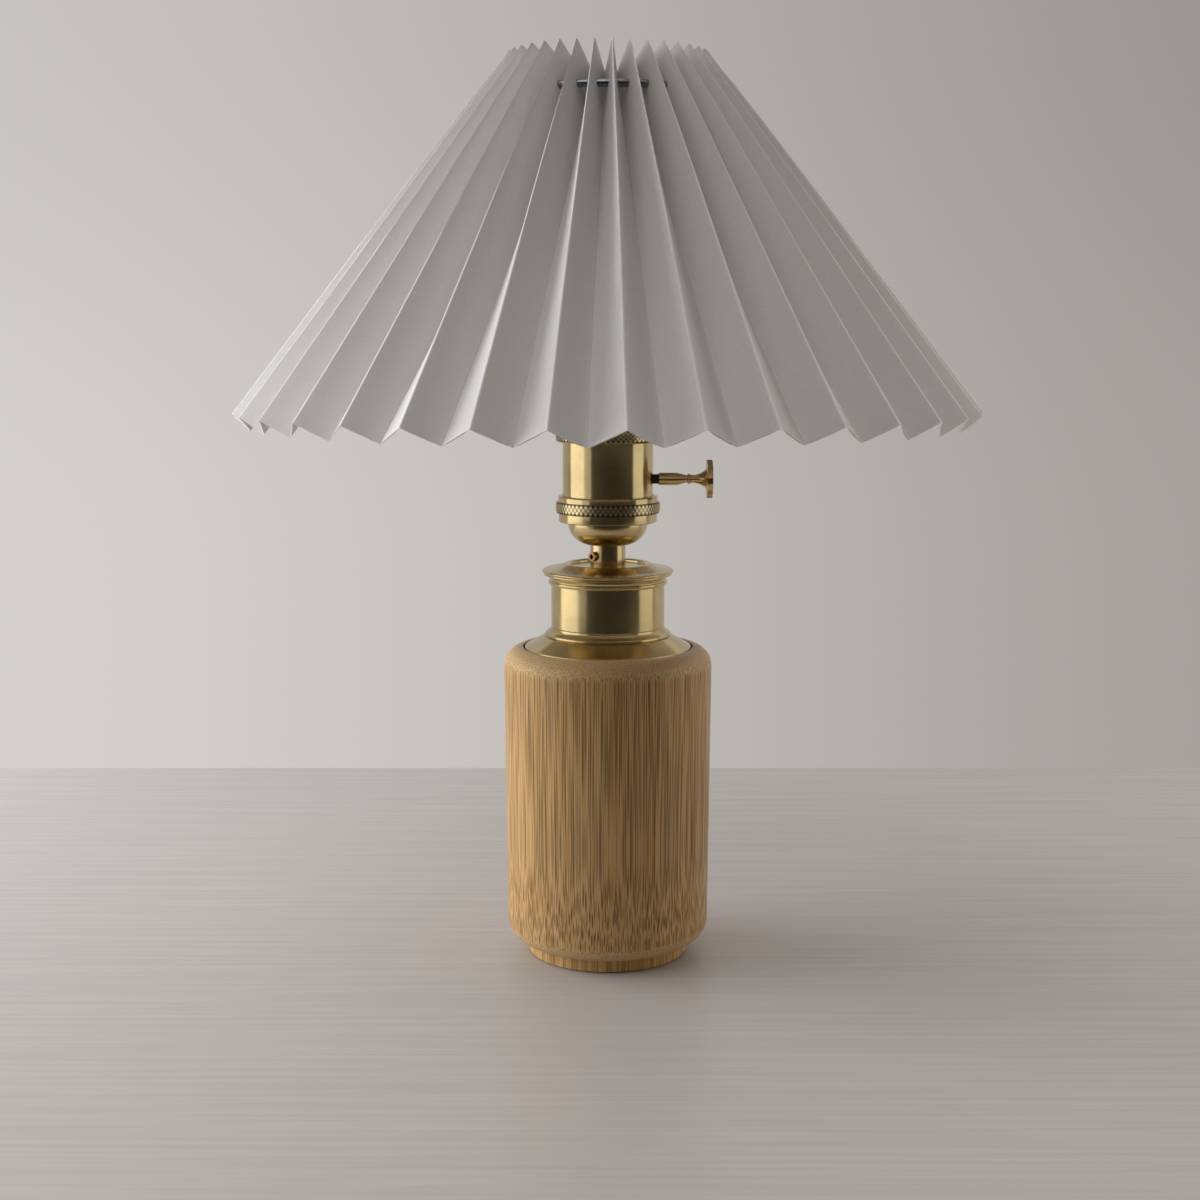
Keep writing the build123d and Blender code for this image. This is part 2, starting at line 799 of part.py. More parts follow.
with BuildPart() as dimmer_module:
    with BuildSketch(Plane.XY.offset(shell_low)):
        Circle(shell_bore - slip)
    extrude(amount=dimmer_flange_height)
    with BuildSketch(Plane.XY.offset(shell_low)):
        Rectangle(dimmer_length, dimmer_width)
    extrude(amount=dimmer_height)
    with BuildSketch(Plane.YZ.offset(spindle_start)):
        with Locations((0, spindle_level)):
            Circle(dimmer_boss_radius)
    extrude(amount=spindle_depth)
    with BuildSketch(Plane.YZ.offset(spindle_start)):
        with Locations((0, spindle_level)):
            Circle(spindle_radius + running)
    extrude(amount=spindle_depth, mode=Mode.SUBTRACT)
write(dimmer_module, "dimmer_module")

with BuildPart() as dimmer_spindle:
    with BuildSketch(Plane.YZ.offset(spindle_start + slip)):
        with Locations((0, spindle_level)):
            Circle(spindle_radius)
    extrude(amount=spindle_end - spindle_start - 2 * slip)
write(dimmer_spindle, "dimmer_spindle")

with BuildPart() as dimmer_knob:
    barrel_end = knob_start + knob_barrel_length
    waist = barrel_end + knob_taper_length
    neck = waist + knob_bead_width
    disc_start = neck + knob_flare_length
    disc_end = disc_start + knob_disc_thickness
    knob_bore = spindle_radius + running
    with BuildSketch(Plane.XZ.shift_origin((0, 0, spindle_level))):
        with BuildLine():
            Polyline(
                (disc_end, 0),
                (spindle_end, 0),
                (spindle_end, knob_bore),
                (knob_start, knob_bore),
                (knob_start, knob_barrel_radius - knob_chamfer),
                (knob_start + knob_chamfer, knob_barrel_radius),
                (barrel_end, knob_barrel_radius),
                (waist, knob_waist_radius),
            )
            ThreePointArc(
                (waist, knob_waist_radius),
                ((waist + neck) / 2, knob_bead_radius),
                (neck, knob_neck_radius),
            )
            SagittaArc((neck, knob_neck_radius), (disc_start, knob_flare_radius), -knob_flare_sag)
            Polyline(
                (disc_start, knob_flare_radius),
                (disc_start, knob_disc_radius - knob_chamfer),
                (disc_start + knob_chamfer, knob_disc_radius),
                (disc_end - knob_chamfer, knob_disc_radius),
                (disc_end, knob_disc_radius - knob_chamfer),
                (disc_end, 0),
            )
        make_face()
    revolve(axis=Axis((0, 0, spindle_level), (1, 0, 0)))
write(dimmer_knob, "dimmer_knob")


# Leads: battery to board, then board to dimmer through the nipple

lead_turn_top = nipple_low - lead_turn_below_nipple
lead_crest = cells_top + battery_lead_rise


def battery_route(side, start):
    """Route of a battery lead, from the top of one cell over the cradle and down to the board."""
    return [
        (side * cell_offset, 0, start),
        (side * cell_offset, 0, lead_crest),
        (side * battery_lead_side, lead_standoff, lead_crest),
        (side * battery_lead_side, lead_standoff, battery_lead_level),
        (side * battery_lead_side, board_face, battery_lead_level),
    ]


def supply_route(side):
    """Route of a supply lead, from the board up beside the cells and through the nipple."""
    return [
        (side * lead_side, board_face, lead_board_level),
        (side * lead_side, lead_standoff, lead_board_level),
        (side * lead_side, lead_standoff, lead_turn_top - lead_turn_height),
        (side * lead_side, 0, lead_turn_top),
        (side * lead_side, 0, shell_low),
    ]


for lead_name, points in (
    ("battery_lead_positive", battery_route(-1, cells_top + cell_button_height)),
    ("battery_lead_negative", battery_route(1, cells_top)),
    ("supply_lead_positive", supply_route(1)),
    ("supply_lead_negative", supply_route(-1)),
):
    with BuildPart() as lead:
        with BuildLine() as route:
            FilletPolyline(*points, radius=lead_bend)
        with BuildSketch(Plane(origin=route.line @ 0, z_dir=route.line % 0)):
            Circle(lead_radius)
        sweep(path=route.line)
    write(lead, lead_name)


# Bulb socket

def thread_wave(radius, low, turns):
    """Draws the side of a screw shell as one outward and one inward arc for each turn."""
    for half in range(2 * turns):
        start = low + half * thread_pitch / 2
        bulge = thread_depth if half % 2 == 0 else -thread_depth
        ThreePointArc(
            (radius, start), (radius + bulge, start + thread_pitch / 4), (radius, start + thread_pitch / 2)
        )


with BuildPart() as socket_core:
    with BuildSketch(Plane.XY.offset(dimmer_top)):
        Circle(shell_bore - slip)
    extrude(amount=core_top - dimmer_top)
    with BuildSketch(Plane.XY.offset(screw_shell_low)):
        Circle(sleeve_thread_outer + slip)
    extrude(amount=core_top - screw_shell_low, mode=Mode.SUBTRACT)
write(socket_core, "socket_core")

with BuildPart() as screw_shell:
    screw_shell_top = screw_shell_low + screw_shell_turns * thread_pitch
    with BuildSketch(Plane.XZ):
        with BuildLine():
            thread_wave(screw_shell_radius, screw_shell_low, screw_shell_turns)
            thread_wave(screw_shell_radius + screw_shell_wall, screw_shell_low, screw_shell_turns)
            for level in (screw_shell_low, screw_shell_top):
                Line((screw_shell_radius, level), (screw_shell_radius + screw_shell_wall, level))
        make_face()
    revolve(axis=Axis.Z)
write(screw_shell, "screw_shell")

with BuildPart() as centre_contact:
    leaf_low = contact_top - contact_thickness
    with BuildSketch(Plane.XZ.offset(-contact_width / 2)):
        with BuildLine():
            Polyline(
                (-contact_length / 2, screw_shell_low),
                (0, screw_shell_low),
                (contact_reach, leaf_low),
                (contact_reach, contact_top),
                (-contact_thickness / 2, screw_shell_low + contact_thickness),
                (-contact_length / 2, screw_shell_low + contact_thickness),
                close=True,
            )
        make_face()
    extrude(amount=contact_width)
write(centre_contact, "centre_contact")


# Bulb

with BuildPart() as bulb_contact:
    with BuildSketch(Plane.XY.offset(bulb_low)):
        Circle(bulb_tip_radius)
    extrude(amount=bulb_tip_height)
write(bulb_contact, "bulb_contact")

with BuildPart() as bulb_insulator:
    with BuildSketch(Plane.XY.offset(bulb_insulator_low)):
        Circle(bulb_tip_radius)
    with BuildSketch(Plane.XY.offset(bulb_cap_low)):
        Circle(bulb_insulator_radius)
    loft()
    with BuildSketch(Plane.XY.offset(bulb_cap_low)):
        Circle(bulb_thread_radius - bulb_cap_wall - slip)
    extrude(amount=bulb_cap_wall, both=True)
write(bulb_insulator, "bulb_insulator")

with BuildPart() as bulb_cap:
    with BuildSketch(Plane.XZ):
        with BuildLine():
            thread_wave(bulb_thread_radius, bulb_cap_low, bulb_cap_turns)
            thread_wave(bulb_thread_radius - bulb_cap_wall, bulb_cap_low, bulb_cap_turns)
            for level in (bulb_cap_low, bulb_cap_top):
                Line((bulb_thread_radius, level), (bulb_thread_radius - bulb_cap_wall, level))
        make_face()
    revolve(axis=Axis.Z)
write(bulb_cap, "bulb_cap")

with BuildPart() as bulb_collar:
    collar_foot_radius = bulb_thread_radius + thread_depth
    with BuildSketch(Plane.XZ):
        with BuildLine():
            Polyline(
                (0, bulb_cap_top),
                (collar_foot_radius, bulb_cap_top),
                (bulb_collar_radius, bulb_collar_top),
                (bulb_collar_radius - bulb_collar_wall, bulb_collar_top),
                (bulb_collar_radius - bulb_collar_wall, bulb_collar_top - emitter_thickness),
                (collar_foot_radius - bulb_collar_wall, bulb_collar_top - emitter_thickness),
                (collar_foot_radius - bulb_collar_wall, bulb_cap_top + bulb_collar_wall),
                (0, bulb_cap_top + bulb_collar_wall),
                close=True,
            )
        make_face()
    revolve(axis=Axis.Z)
write(bulb_collar, "bulb_collar")

with BuildPart() as bulb_emitter:
    with BuildSketch(Plane.XY.offset(bulb_collar_top - emitter_thickness)):
        Circle(bulb_collar_radius - bulb_collar_wall - slip)
    extrude(amount=emitter_thickness)
    with BuildSketch(Plane.XY.offset(bulb_collar_top)):
        with PolarLocations(diode_circle, diode_count):
            Rectangle(diode_size, diode_size)
    extrude(amount=diode_height)
write(bulb_emitter, "bulb_emitter")

with BuildPart() as bulb_globe:
    globe_bore = globe_radius - globe_wall
    mouth_bore = (globe_bore**2 - (globe_level - bulb_collar_top) ** 2) ** 0.5
    with BuildSketch(Plane.XZ):
        with BuildLine():
            ThreePointArc(
                (bulb_collar_radius, bulb_collar_top),
                (globe_radius, globe_level),
                (0, globe_level + globe_radius),
            )
            Line((0, globe_level + globe_radius), (0, globe_level + globe_bore))
            ThreePointArc(
                (0, globe_level + globe_bore),
                (globe_bore, globe_level),
                (mouth_bore, bulb_collar_top),
            )
            Line((mouth_bore, bulb_collar_top), (bulb_collar_radius, bulb_collar_top))
        make_face()
    revolve(axis=Axis.Z)
write(bulb_globe, "bulb_globe")


# Shade carrier

with BuildPart() as carrier_washer:
    with BuildSketch(Plane.XY.offset(carrier_low)):
        Circle(carrier_washer_radius)
        Circle(ring_bore, mode=Mode.SUBTRACT)
    extrude(amount=carrier_washer_thickness)
write(carrier_washer, "carrier_washer")

with BuildPart() as carrier_ring:
    with Locations((0, 0, carrier_ring_level)):
        Torus(carrier_ring_radius, carrier_ring_wire)
write(carrier_ring, "carrier_ring")

with BuildPart() as carrier_legs:
    for turn in leg_turns:
        with BuildLine() as leg:
            Line(
                polar(carrier_leg_foot, turn, carrier_low + carrier_washer_thickness / 2),
                polar(carrier_ring_radius - carrier_leg_lap, turn, carrier_ring_level),
            )
        with BuildSketch(Plane(origin=leg.line @ 0, z_dir=leg.line % 0)):
            Circle(carrier_leg_wire)
        extrude(amount=leg.edge().length)
    # The legs end on the washer and on the ring that they are welded to.
    add(carrier_washer.part, mode=Mode.SUBTRACT)
    add(carrier_ring.part, mode=Mode.SUBTRACT)
write(carrier_legs, "carrier_legs")


# Pleated shade

def fold_radii(level):
    """Radii of the outer and inner folds at a level, along their straight lines."""
    outer_slope = (outer_low_radius - outer_top_radius) / shade_height
    inner_slope = (inner_low_radius - inner_top_radius) / (inner_top - inner_low)
    return (
        outer_top_radius + (outer_top - level) * outer_slope,
        inner_top_radius + (inner_top - level) * inner_slope,
    )


def pleat_outline(level, inset):
    """Corners of the pleats at a level, with every panel moved towards the axis by inset."""
    outer, inner = fold_radii(level)
    half_turn = radians(180 / pleat_count)
    outer_angle = atan2(inner * sin(half_turn), outer - inner * cos(half_turn))
    outer -= inset / sin(outer_angle)
    inner -= inset / sin(outer_angle + half_turn)
    points = []
    for pleat in range(pleat_count):
        turn = pleat_turn + pleat * 360 / pleat_count
        points.append(polar(outer, turn)[:2])
        points.append(polar(inner, turn + 180 / pleat_count)[:2])
    return points


def level_on(first, second, radius):
    """Level at a radius on the straight line through two points of a profile."""
    return first[1] + (radius - first[0]) * (second[1] - first[1]) / (second[0] - first[0])


with BuildPart() as pleated_shade:
    spare_low = inner_low - shade_spare
    spare_top = outer_top + shade_spare
    for station in sheet_stations:
        level = spare_low + station * (spare_top - spare_low)
        with BuildSketch(Plane.XY.offset(level)):
            with BuildLine():
                Polyline(*pleat_outline(level, 0), close=True)
            make_face()
            with BuildLine():
                Polyline(*pleat_outline(level, sheet), close=True)
            make_face(mode=Mode.SUBTRACT)
    loft(ruled=True)
    # Each end is cut square to the slant, so the inner folds end lower than the outer ones.
    top_line = ((inner_top_radius, inner_top), (outer_top_radius, outer_top))
    low_line = ((inner_low_radius, inner_low), (outer_low_radius, outer_low))
    far_top = 2 * outer_top_radius
    near_low = 2 * inner_low_radius - outer_low_radius
    far_low = fold_radii(spare_low)[0] + shade_spare
    with BuildSketch(Plane.XZ):
        with BuildLine():
            Polyline(
                (0, level_on(*top_line, 0)),
                (far_top, level_on(*top_line, far_top)),
                (0, level_on(*top_line, far_top)),
                close=True,
            )
        make_face()
        with BuildLine():
            Polyline(
                (near_low, level_on(*low_line, near_low)),
                (far_low, level_on(*low_line, far_low)),
                (far_low, level_on(*low_line, near_low)),
                close=True,
            )
        make_face()
    revolve(axis=Axis.Z, mode=Mode.SUBTRACT)
    # The carrier's top ring is threaded through a hole in every panel.
    with Locations((0, 0, carrier_ring_level)):
        Torus(carrier_ring_radius, carrier_ring_wire + hole_gap, mode=Mode.SUBTRACT)
write(pleated_shade, "pleated_shade")
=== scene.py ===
"""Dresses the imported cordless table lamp: turned brass, bamboo, and a sheet folded into pleats.

The file is laid out as an add-on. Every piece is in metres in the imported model's frame, with +Z up, the
front of the lamp towards -Y and its turn knob towards +X.
"""

from math import atan, atan2, cos, hypot, pi, radians

import bmesh
import bpy
from bpy.props import FloatProperty, FloatVectorProperty, IntProperty, PointerProperty
from bpy.types import Operator, Panel, PropertyGroup
from mathutils import Matrix, Vector, noise


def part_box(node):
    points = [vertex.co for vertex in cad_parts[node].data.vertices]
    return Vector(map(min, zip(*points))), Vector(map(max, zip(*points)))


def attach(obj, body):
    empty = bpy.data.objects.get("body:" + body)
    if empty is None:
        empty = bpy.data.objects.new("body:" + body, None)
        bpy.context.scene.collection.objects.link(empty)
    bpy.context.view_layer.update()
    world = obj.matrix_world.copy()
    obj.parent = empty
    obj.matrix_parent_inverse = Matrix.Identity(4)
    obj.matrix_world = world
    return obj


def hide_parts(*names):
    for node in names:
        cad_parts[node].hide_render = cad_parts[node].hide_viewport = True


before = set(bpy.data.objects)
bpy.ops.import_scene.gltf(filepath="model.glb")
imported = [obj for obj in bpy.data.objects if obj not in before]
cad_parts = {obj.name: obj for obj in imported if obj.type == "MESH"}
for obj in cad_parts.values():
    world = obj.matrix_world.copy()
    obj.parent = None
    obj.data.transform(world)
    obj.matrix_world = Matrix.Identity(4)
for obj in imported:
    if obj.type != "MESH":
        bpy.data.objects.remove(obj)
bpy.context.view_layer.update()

bl_info = {
    "name": "Cordless Table Lamp",
    "version": (1, 0, 0),
    "blender": (4, 5, 0),
    "location": "View3D > Sidebar > Lamp",
    "description": "Models and finishes a cordless table lamp with a pleated shade",
    "category": "Object",
}

MILLIMETRE = 0.001


# Reading the frame

def round_node(name):
    """Radius, lowest and highest level of a round node that stands on the lamp's axis."""
    low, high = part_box(name)
    return (high[0] - low[0]) / 2, low[2], high[2]


# Properties

def distance(name, description, millimetres):
    """A length property, written in millimetres and kept in metres."""
    return FloatProperty(
        name=name,
        description=description,
        default=millimetres * MILLIMETRE,
        unit="LENGTH",
        subtype="DISTANCE",
        precision=5,
    )


def metres(name, description, *values):
    """A place or the sides of a rectangle, in metres."""
    return FloatVectorProperty(
        name=name, description=description, default=values, size=len(values), unit="LENGTH", precision=4
    )


def colour(name, description, red, green, blue):
    """A colour property, written as display values from 0 to 255 and kept linear."""
    shares = [value / 255 for value in (red, green, blue)]
    linear = [s / 12.92 if s <= 0.04045 else ((s + 0.055) / 1.055) ** 2.4 for s in shares]
    return FloatVectorProperty(
        name=name, description=description, default=linear, subtype="COLOR", size=3, min=0.0, max=1.0
    )


def watts(name, value):
    """The strength of a light."""
    return FloatProperty(name=name, description="Strength in watts", default=value)


def tint(name, *shares):
    """The tint of a light, as shares of red, green and blue."""
    return FloatVectorProperty(name=name, description="Shares of red, green and blue", default=shares)


def number(name, description, value):
    """A whole number of copies or faces."""
    return IntProperty(name=name, description=description, default=value, min=4)


class LampBaseSizes(PropertyGroup):
    """Sizes of the bamboo base's rounded ends, where its fibres are cut across and the wood is painted
    paler, at the shoulder as painted light.
    """

    shoulder: distance("Shoulder", "Height of the stretch at the top where the fibres fade", 10.0)
    heel: distance("Heel", "Height of the stretch at the bottom where the fibres fade", 9.0)


class LampNeckSizes(PropertyGroup):
    """Sizes of the brass collar, sleeve and cap between the base and the lampholder."""

    edge_round: distance("Edge round", "Round on the brass edges", 0.18)
    collar_round: distance("Collar round", "Round on the collar's edges", 0.3)
    collar_edge: distance("Collar edge", "Height of the collar's upright edge", 1.1)
    collar_foot: distance("Collar foot", "Width of the collar's foot ring", 2.6)
    lip_width: distance("Lip width", "Width of the round lip on the collar's edge", 1.0)
    lip_rise: distance("Lip rise", "Height of the round lip over the upright edge", 1.2)
    lip_bulge: distance("Lip bulge", "How far the round lip stands off its chord", 0.35)
    cone_radius: distance("Cone radius", "Radius at the top of the collar's cone", 27.0)
    cone_rise: distance("Cone rise", "Height of the collar's cone above its foot", 6.4)
    bead_radius: distance("Bead radius", "Radius of the bead above the cone", 26.4)
    bead_height: distance("Bead height", "Height of the bead above the cone", 1.7)
    bead_depth: distance("Bead depth", "How far the bead stands out", 0.6)
    cove_depth: distance("Cove depth", "Hollow of the coves", 0.4)
    wall: distance("Wall", "Thickness of the sleeve", 1.5)
    spigot_wall: distance("Spigot wall", "Thickness of the spigots in the sleeve", 1.6)
    slip: distance("Slip", "Gap between the pieces of a joint", 0.1)
    cap_foot_radius: distance("Cap foot radius", "Radius of the cap's lower bead", 24.4)
    cap_foot_height: distance("Cap foot height", "Height of the cap's lower bead", 1.8)
    cap_foot_bulge: distance("Cap foot bulge", "How far the cap's lower bead stands out", 0.6)
    cap_cove_radius: distance("Cap cove radius", "Radius at the top of the cap's cove", 26.2)
    cap_cove_rise: distance("Cap cove rise", "Height of the cap's cove above the sleeve", 3.9)
    cap_rim_rise: distance("Cap rim rise", "Height of the cap's rim above the sleeve", 5.4)
    cap_rim_round: distance("Cap rim round", "Round of the cap's rim", 0.6)
    cap_slope_sag: distance("Cap slope sag", "Hollow of the slope inside the rim", 0.35)
    cap_bead_radius: distance("Cap bead radius", "Outer radius of the raised ring", 18.9)
    cap_bead_height: distance("Cap bead height", "Height of the raised ring", 0.5)
    cap_lip_radius: distance("Cap lip radius", "Radius of the dish inside the ring", 15.6)
    cap_floor: distance("Cap floor", "Thickness of the dish", 1.6)
    nipple_hole: distance("Nipple hole", "Radius of the hole in the middle", 5.1)
    steps: number("Steps", "Faces round a turned piece", 192)


class LampHolderSizes(PropertyGroup):
    """Sizes of the lampholder's cap and knurled rings."""

    hub_radius: distance("Hub radius", "Radius of the hub under the dome", 7.4)
    dome_radius: distance("Dome radius", "Radius of the dome at its top", 16.6)
    dome_round: distance("Dome round", "Radius of the dome's side", 9.6)
    dome_wall: distance("Dome wall", "Thickness of the dome", 1.4)
    lip: distance("Lip", "Height of the dome's upright lip", 0.8)
    band_radius: distance("Band radius", "Radius of the plain band under the knurl", 20.5)
    band_height: distance("Band height", "Height of the plain band under the knurl", 3.8)
    top_radius: distance("Top band radius", "Radius of the plain band over the knurl", 20.8)
    top_height: distance("Top band height", "Height of the plain band over the knurl", 2.3)
    chamfer: distance("Chamfer", "Chamfer on the rings", 0.4)
    knurl_pitch: distance("Knurl pitch", "Height and width of one knurled point", 2.0)
    knurl_depth: distance("Knurl depth", "Depth of the knurl's grooves", 0.5)
    knurl_points: number("Knurl points", "Points round a ring", 64)
    steps: number("Steps", "Faces round the cap", 160)


class LampKnobSizes(PropertyGroup):
    """Sizes of the turn knob."""

    barrel_radius: distance("Barrel radius", "Radius of the barrel", 2.6)
    barrel_length: distance("Barrel length", "Length of the barrel", 7.4)
    taper_length: distance("Taper length", "Length of the taper after the barrel", 4.5)
    waist_radius: distance("Waist radius", "Radius at the end of the taper", 1.5)
    bead_radius: distance("Bead radius", "Radius of the bead", 2.2)
    bead_width: distance("Bead width", "Width of the bead", 1.4)
    neck_radius: distance("Neck radius", "Radius where the flare starts", 1.7)
    flare_length: distance("Flare length", "Length of the flare", 6.6)
    flare_radius: distance("Flare radius", "Radius where the flare meets the disc", 4.4)
    flare_sag: distance("Flare sag", "Hollow of the flare", 0.9)
    bore: distance("Bore", "Radius of the hole for the spindle", 2.05)
    bore_depth: distance("Bore depth", "Depth of the hole for the spindle", 6.8)
    edge_round: distance("Edge round", "Round on the knob's edges", 0.3)
    reed_depth: distance("Reed depth", "Depth of the grooves round the disc", 0.22)
    reeds: number("Reeds", "Grooves round the disc", 44)


class LampShadeSizes(PropertyGroup):
    """Sizes of the pleated shade."""

    pleats: number("Pleats", "Outer folds round the shade", 36)
    turn: FloatProperty(
        name="Turn",
        description="Angle from the front to the nearest outer fold",
        default=radians(2.1),
        subtype="ANGLE",
    )
    outer_top_radius: distance("Outer top radius", "Radius of the outer folds at the top", 39.2)
    tip_run: distance("Tip run", "How far the panels' lines meet beyond the rounded tips", 2.4)
    tip_rise: distance("Tip rise", "How far above the rounded tips the panels' lines meet", 1.25)
    outer_low_radius: distance("Outer lower radius", "Radius of the outer folds at the bottom", 153.05)
    inner_top_radius: distance("Inner top radius", "Radius of the inner folds at the top", 27.0)
    inner_low_radius: distance("Inner lower radius", "Radius of the inner folds at the bottom", 146.5)
    top_notch: distance("Top notch", "Drop from the outer to the inner folds at the top", 11.05)
    low_notch: distance("Lower notch", "Drop from the outer to the inner folds at the bottom", 6.3)
    thickness: distance("Thickness", "Thickness of the sheet", 0.5)
    fold_share: FloatProperty(
        name="Fold share", description="Share of the thickness that is left at a fold", default=0.12
    )
    fold_round: distance("Fold round", "Width of the rounded stretch at an outer fold", 0.9)
    crease_round: distance("Crease round", "Width of the rounded stretch at an inner fold", 0.25)
    hole_radius: distance("Hole radius", "Radius of the holes for the carrier's ring", 1.75)
    unevenness: distance("Unevenness", "How far a fold may stand off its true place", 0.55)
    rows: number("Rows", "Rows of faces along a fold", 22)


class LampColours(PropertyGroup):
    """Colours of the lamp's finishes and of the stage."""

    brass: colour("Brass", "Satin brass", 211, 189, 138)
    # The knurl brass is the satin brass made lighter, as painted light on the knurled points.
    knurl_brass_painted_light: colour("Knurl brass", "Lighter brass of the knurled points", 232, 212, 164)
    knob_brass: colour("Knob brass", "Browner brass of the knob", 222, 192, 136)
    screw_brass: colour("Screw brass", "Dark brass of the locking screw", 150, 118, 74)
    bamboo_light: colour("Light bamboo", "Soft wood between the fibres", 215, 182, 129)
    bamboo_middle: colour("Middle bamboo", "Most of the bamboo", 192, 147, 87)
    bamboo_dark: colour("Dark bamboo", "Fibres", 92, 54, 22)
    bamboo_grey: colour("Grey bamboo", "Greyer fibres", 90, 71, 45)
    foot_light: colour("Light foot", "Soft wood of the foot", 226, 186, 122)
    foot_middle: colour("Middle foot", "Most of the foot", 208, 163, 96)
    foot_dark: colour("Dark foot", "Fibres of the foot", 140, 94, 44)
    sheet: colour("Sheet", "White sheet of the shade", 226, 222, 219)
    sheet_fibre: colour("Sheet fibre", "Greyer fibres in the sheet", 221, 217, 213)
    floor: colour("Floor", "Pale floor", 195, 189, 184)
    # The two wall colours paint light falling off from the left across the ground behind the lamp.
    wall_left: colour("Left wall", "Plain ground behind the lamp, at the left", 214, 211, 206)
    wall_right: colour("Right wall", "Plain ground behind the lamp, at the right", 163, 156, 152)


class LampStageSizes(PropertyGroup):
    """Places and strengths of the camera and the studio lights."""

    camera_place: metres("Camera", "Where the camera stands", -0.0033, -0.74016, 0.26248)
    camera_pitch: FloatProperty(
        name="Pitch", description="How far the camera looks down", default=0.149, subtype="ANGLE"
    )
    camera_lens: FloatProperty(name="Lens", description="Focal length in millimetres", default=53.39)
    floor_back: distance("Floor back", "How far the floor reaches behind the lamp", 318.0)
    floor_front: distance("Floor front", "How far the floor reaches in front of the lamp", 360.0)
    floor_width: distance("Floor width", "Width of the floor", 6000.0)
    card_front: distance("Card distance", "How far the dark card stands in front", 480.0)
    card_side: distance("Card side", "How far the dark card's middle is to the right", 316.0)
    card_width: distance("Card width", "Width of the dark card", 1530.0)
    card_height: distance("Card height", "Height of the dark card", 700.0)
    window_place: metres("Window place", "Middle of the window light", -0.8, -0.083, 0.552)
    window_size: metres("Window size", "Height and width of the window light", 1.1, 0.685)
    window_power: watts("Window", 3.5)
    beside_place: metres("Beside place", "Middle of the dim part beside the window", -0.8, -0.64, 0.552)
    beside_size: metres("Beside size", "Height and width of the dim part", 1.1, 0.433)
    beside_power: watts("Beside window", 1.0)
    right_place: metres("Right place", "Middle of the right light", 0.85, -0.107, 0.502)
    right_size: metres("Right size", "Height and width of the right light", 1.0, 0.543)
    right_power: watts("Right light", 1.3)
    left_fill_place: metres("Left fill place", "Middle of the soft light from the left", -0.8, 0.1, 0.26)
    left_fill_size: metres("Left fill size", "Height and width of the soft light", 0.52, 0.9)
    left_fill_power: watts("Left fill", 9.0)
    left_fill_tint: tint("Left fill tint", 0.97, 1.0, 1.05)
    right_fill_place: metres("Right fill place", "Middle of the soft light from the right", 0.85, 0.1, 0.2)
    right_fill_size: metres("Right fill size", "Height and width of the soft light", 0.4, 0.7)
    right_fill_power: watts("Right fill", 1.8)
    right_fill_tint: tint("Right fill tint", 1.0, 0.91, 0.84)
    top_place: metres("Top place", "Middle of the top light", -0.8, -0.65, 1.5)
    top_size: metres("Top size", "Width and depth of the top light", 1.6, 1.2)
    top_power: watts("Top light", 6.8)


# Shapes

def bow(start, end, rise, count=8):
    """Points of an arc that stands off its chord by rise, to the left of its run, without the start."""
    first = Vector(start)
    last = Vector(end)
    chord = last - first
    side = Vector((-chord.y, chord.x)).normalized()
    radius = (chord.length_squared / 4 + rise**2) / (2 * rise)
    middle = (first + last) / 2 + side * (rise - radius)
    turn = 4 * atan(2 * rise / chord.length)
    spoke = first - middle
    return [tuple(middle + Matrix.Rotation(-turn * i / count, 2) @ spoke) for i in range(1, count + 1)]


def turn_profile(profile, steps):
    """A mesh turned about the upright axis from a closed profile of radius and level pairs."""
    shape = bmesh.new()
    corners = [shape.verts.new((radius, 0, level)) for radius, level in profile]
    for first, second in zip(corners, corners[1:] + corners[:1]):
        shape.edges.new((first, second))
    bmesh.ops.spin(
        shape,
        geom=shape.verts[:] + shape.edges[:],
        cent=(0, 0, 0),
        axis=(0, 0, 1),
        angle=2 * pi,
        steps=steps,
        use_merge=True,
    )
    bmesh.ops.remove_doubles(shape, verts=shape.verts, dist=0.001 * MILLIMETRE)
    bmesh.ops.dissolve_degenerate(shape, edges=shape.edges, dist=0.001 * MILLIMETRE)
    bmesh.ops.recalc_face_normals(shape, faces=shape.faces)
    return shape


def sharp_edges(shape, degrees):
    """Edges of a mesh where two faces meet at more than an angle."""
    return [edge for edge in shape.edges if edge.calc_face_angle(0.0) > radians(degrees)]


def bevel(shape, picked, width, kind="OFFSET", segments=2, affect="EDGES"):
    """Rounds the picked edges or corners of a mesh."""
    bmesh.ops.bevel(
        shape,
        geom=picked,
        offset=width,
        offset_type=kind,
        segments=segments,
        profile=0.5,
        affect=affect,
        clamp_overlap=True,
        material=-1,
    )


def round_edges(shape, width, degrees=32):
    """Rounds the sharp edges of a mesh."""
    bevel(shape, sharp_edges(shape, degrees), width)


def shade_smooth(shape, degrees=40):
    """Shades a mesh smooth up to an angle between its faces."""
    for face in shape.faces:
        face.smooth = True
    for edge in sharp_edges(shape, degrees):
        edge.smooth = False


def add_piece(name, shape, node, finish_name):
    """Makes an object of a mesh that stands for a node and moves with the node's body."""
    mesh = bpy.data.meshes.new(name)
    shape.to_mesh(mesh)
    shape.free()
    mesh.materials.append(finish(finish_name))
    piece = bpy.data.objects.new(name, mesh)
    bpy.context.scene.collection.objects.link(piece)
    body = "dimmer" if node == "dimmer_knob" else "stand"
    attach(piece, body)
    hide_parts(node)
    return piece


def even_shading(piece):
    """Keeps the flat and straight stretches of a turned piece free of the shading of its round edges."""
    made = piece.modifiers.new("Even shading", "WEIGHTED_NORMAL")
    made.weight = 100
    made.keep_sharp = True


def add_turned(name, profile, steps, edge_round, node):
    """Turns a plain brass piece with rounded edges from its profile."""
    shape = turn_profile(profile, steps)
    round_edges(shape, edge_round)
    shade_smooth(shape)
    even_shading(add_piece(name, shape, node, "Brass"))


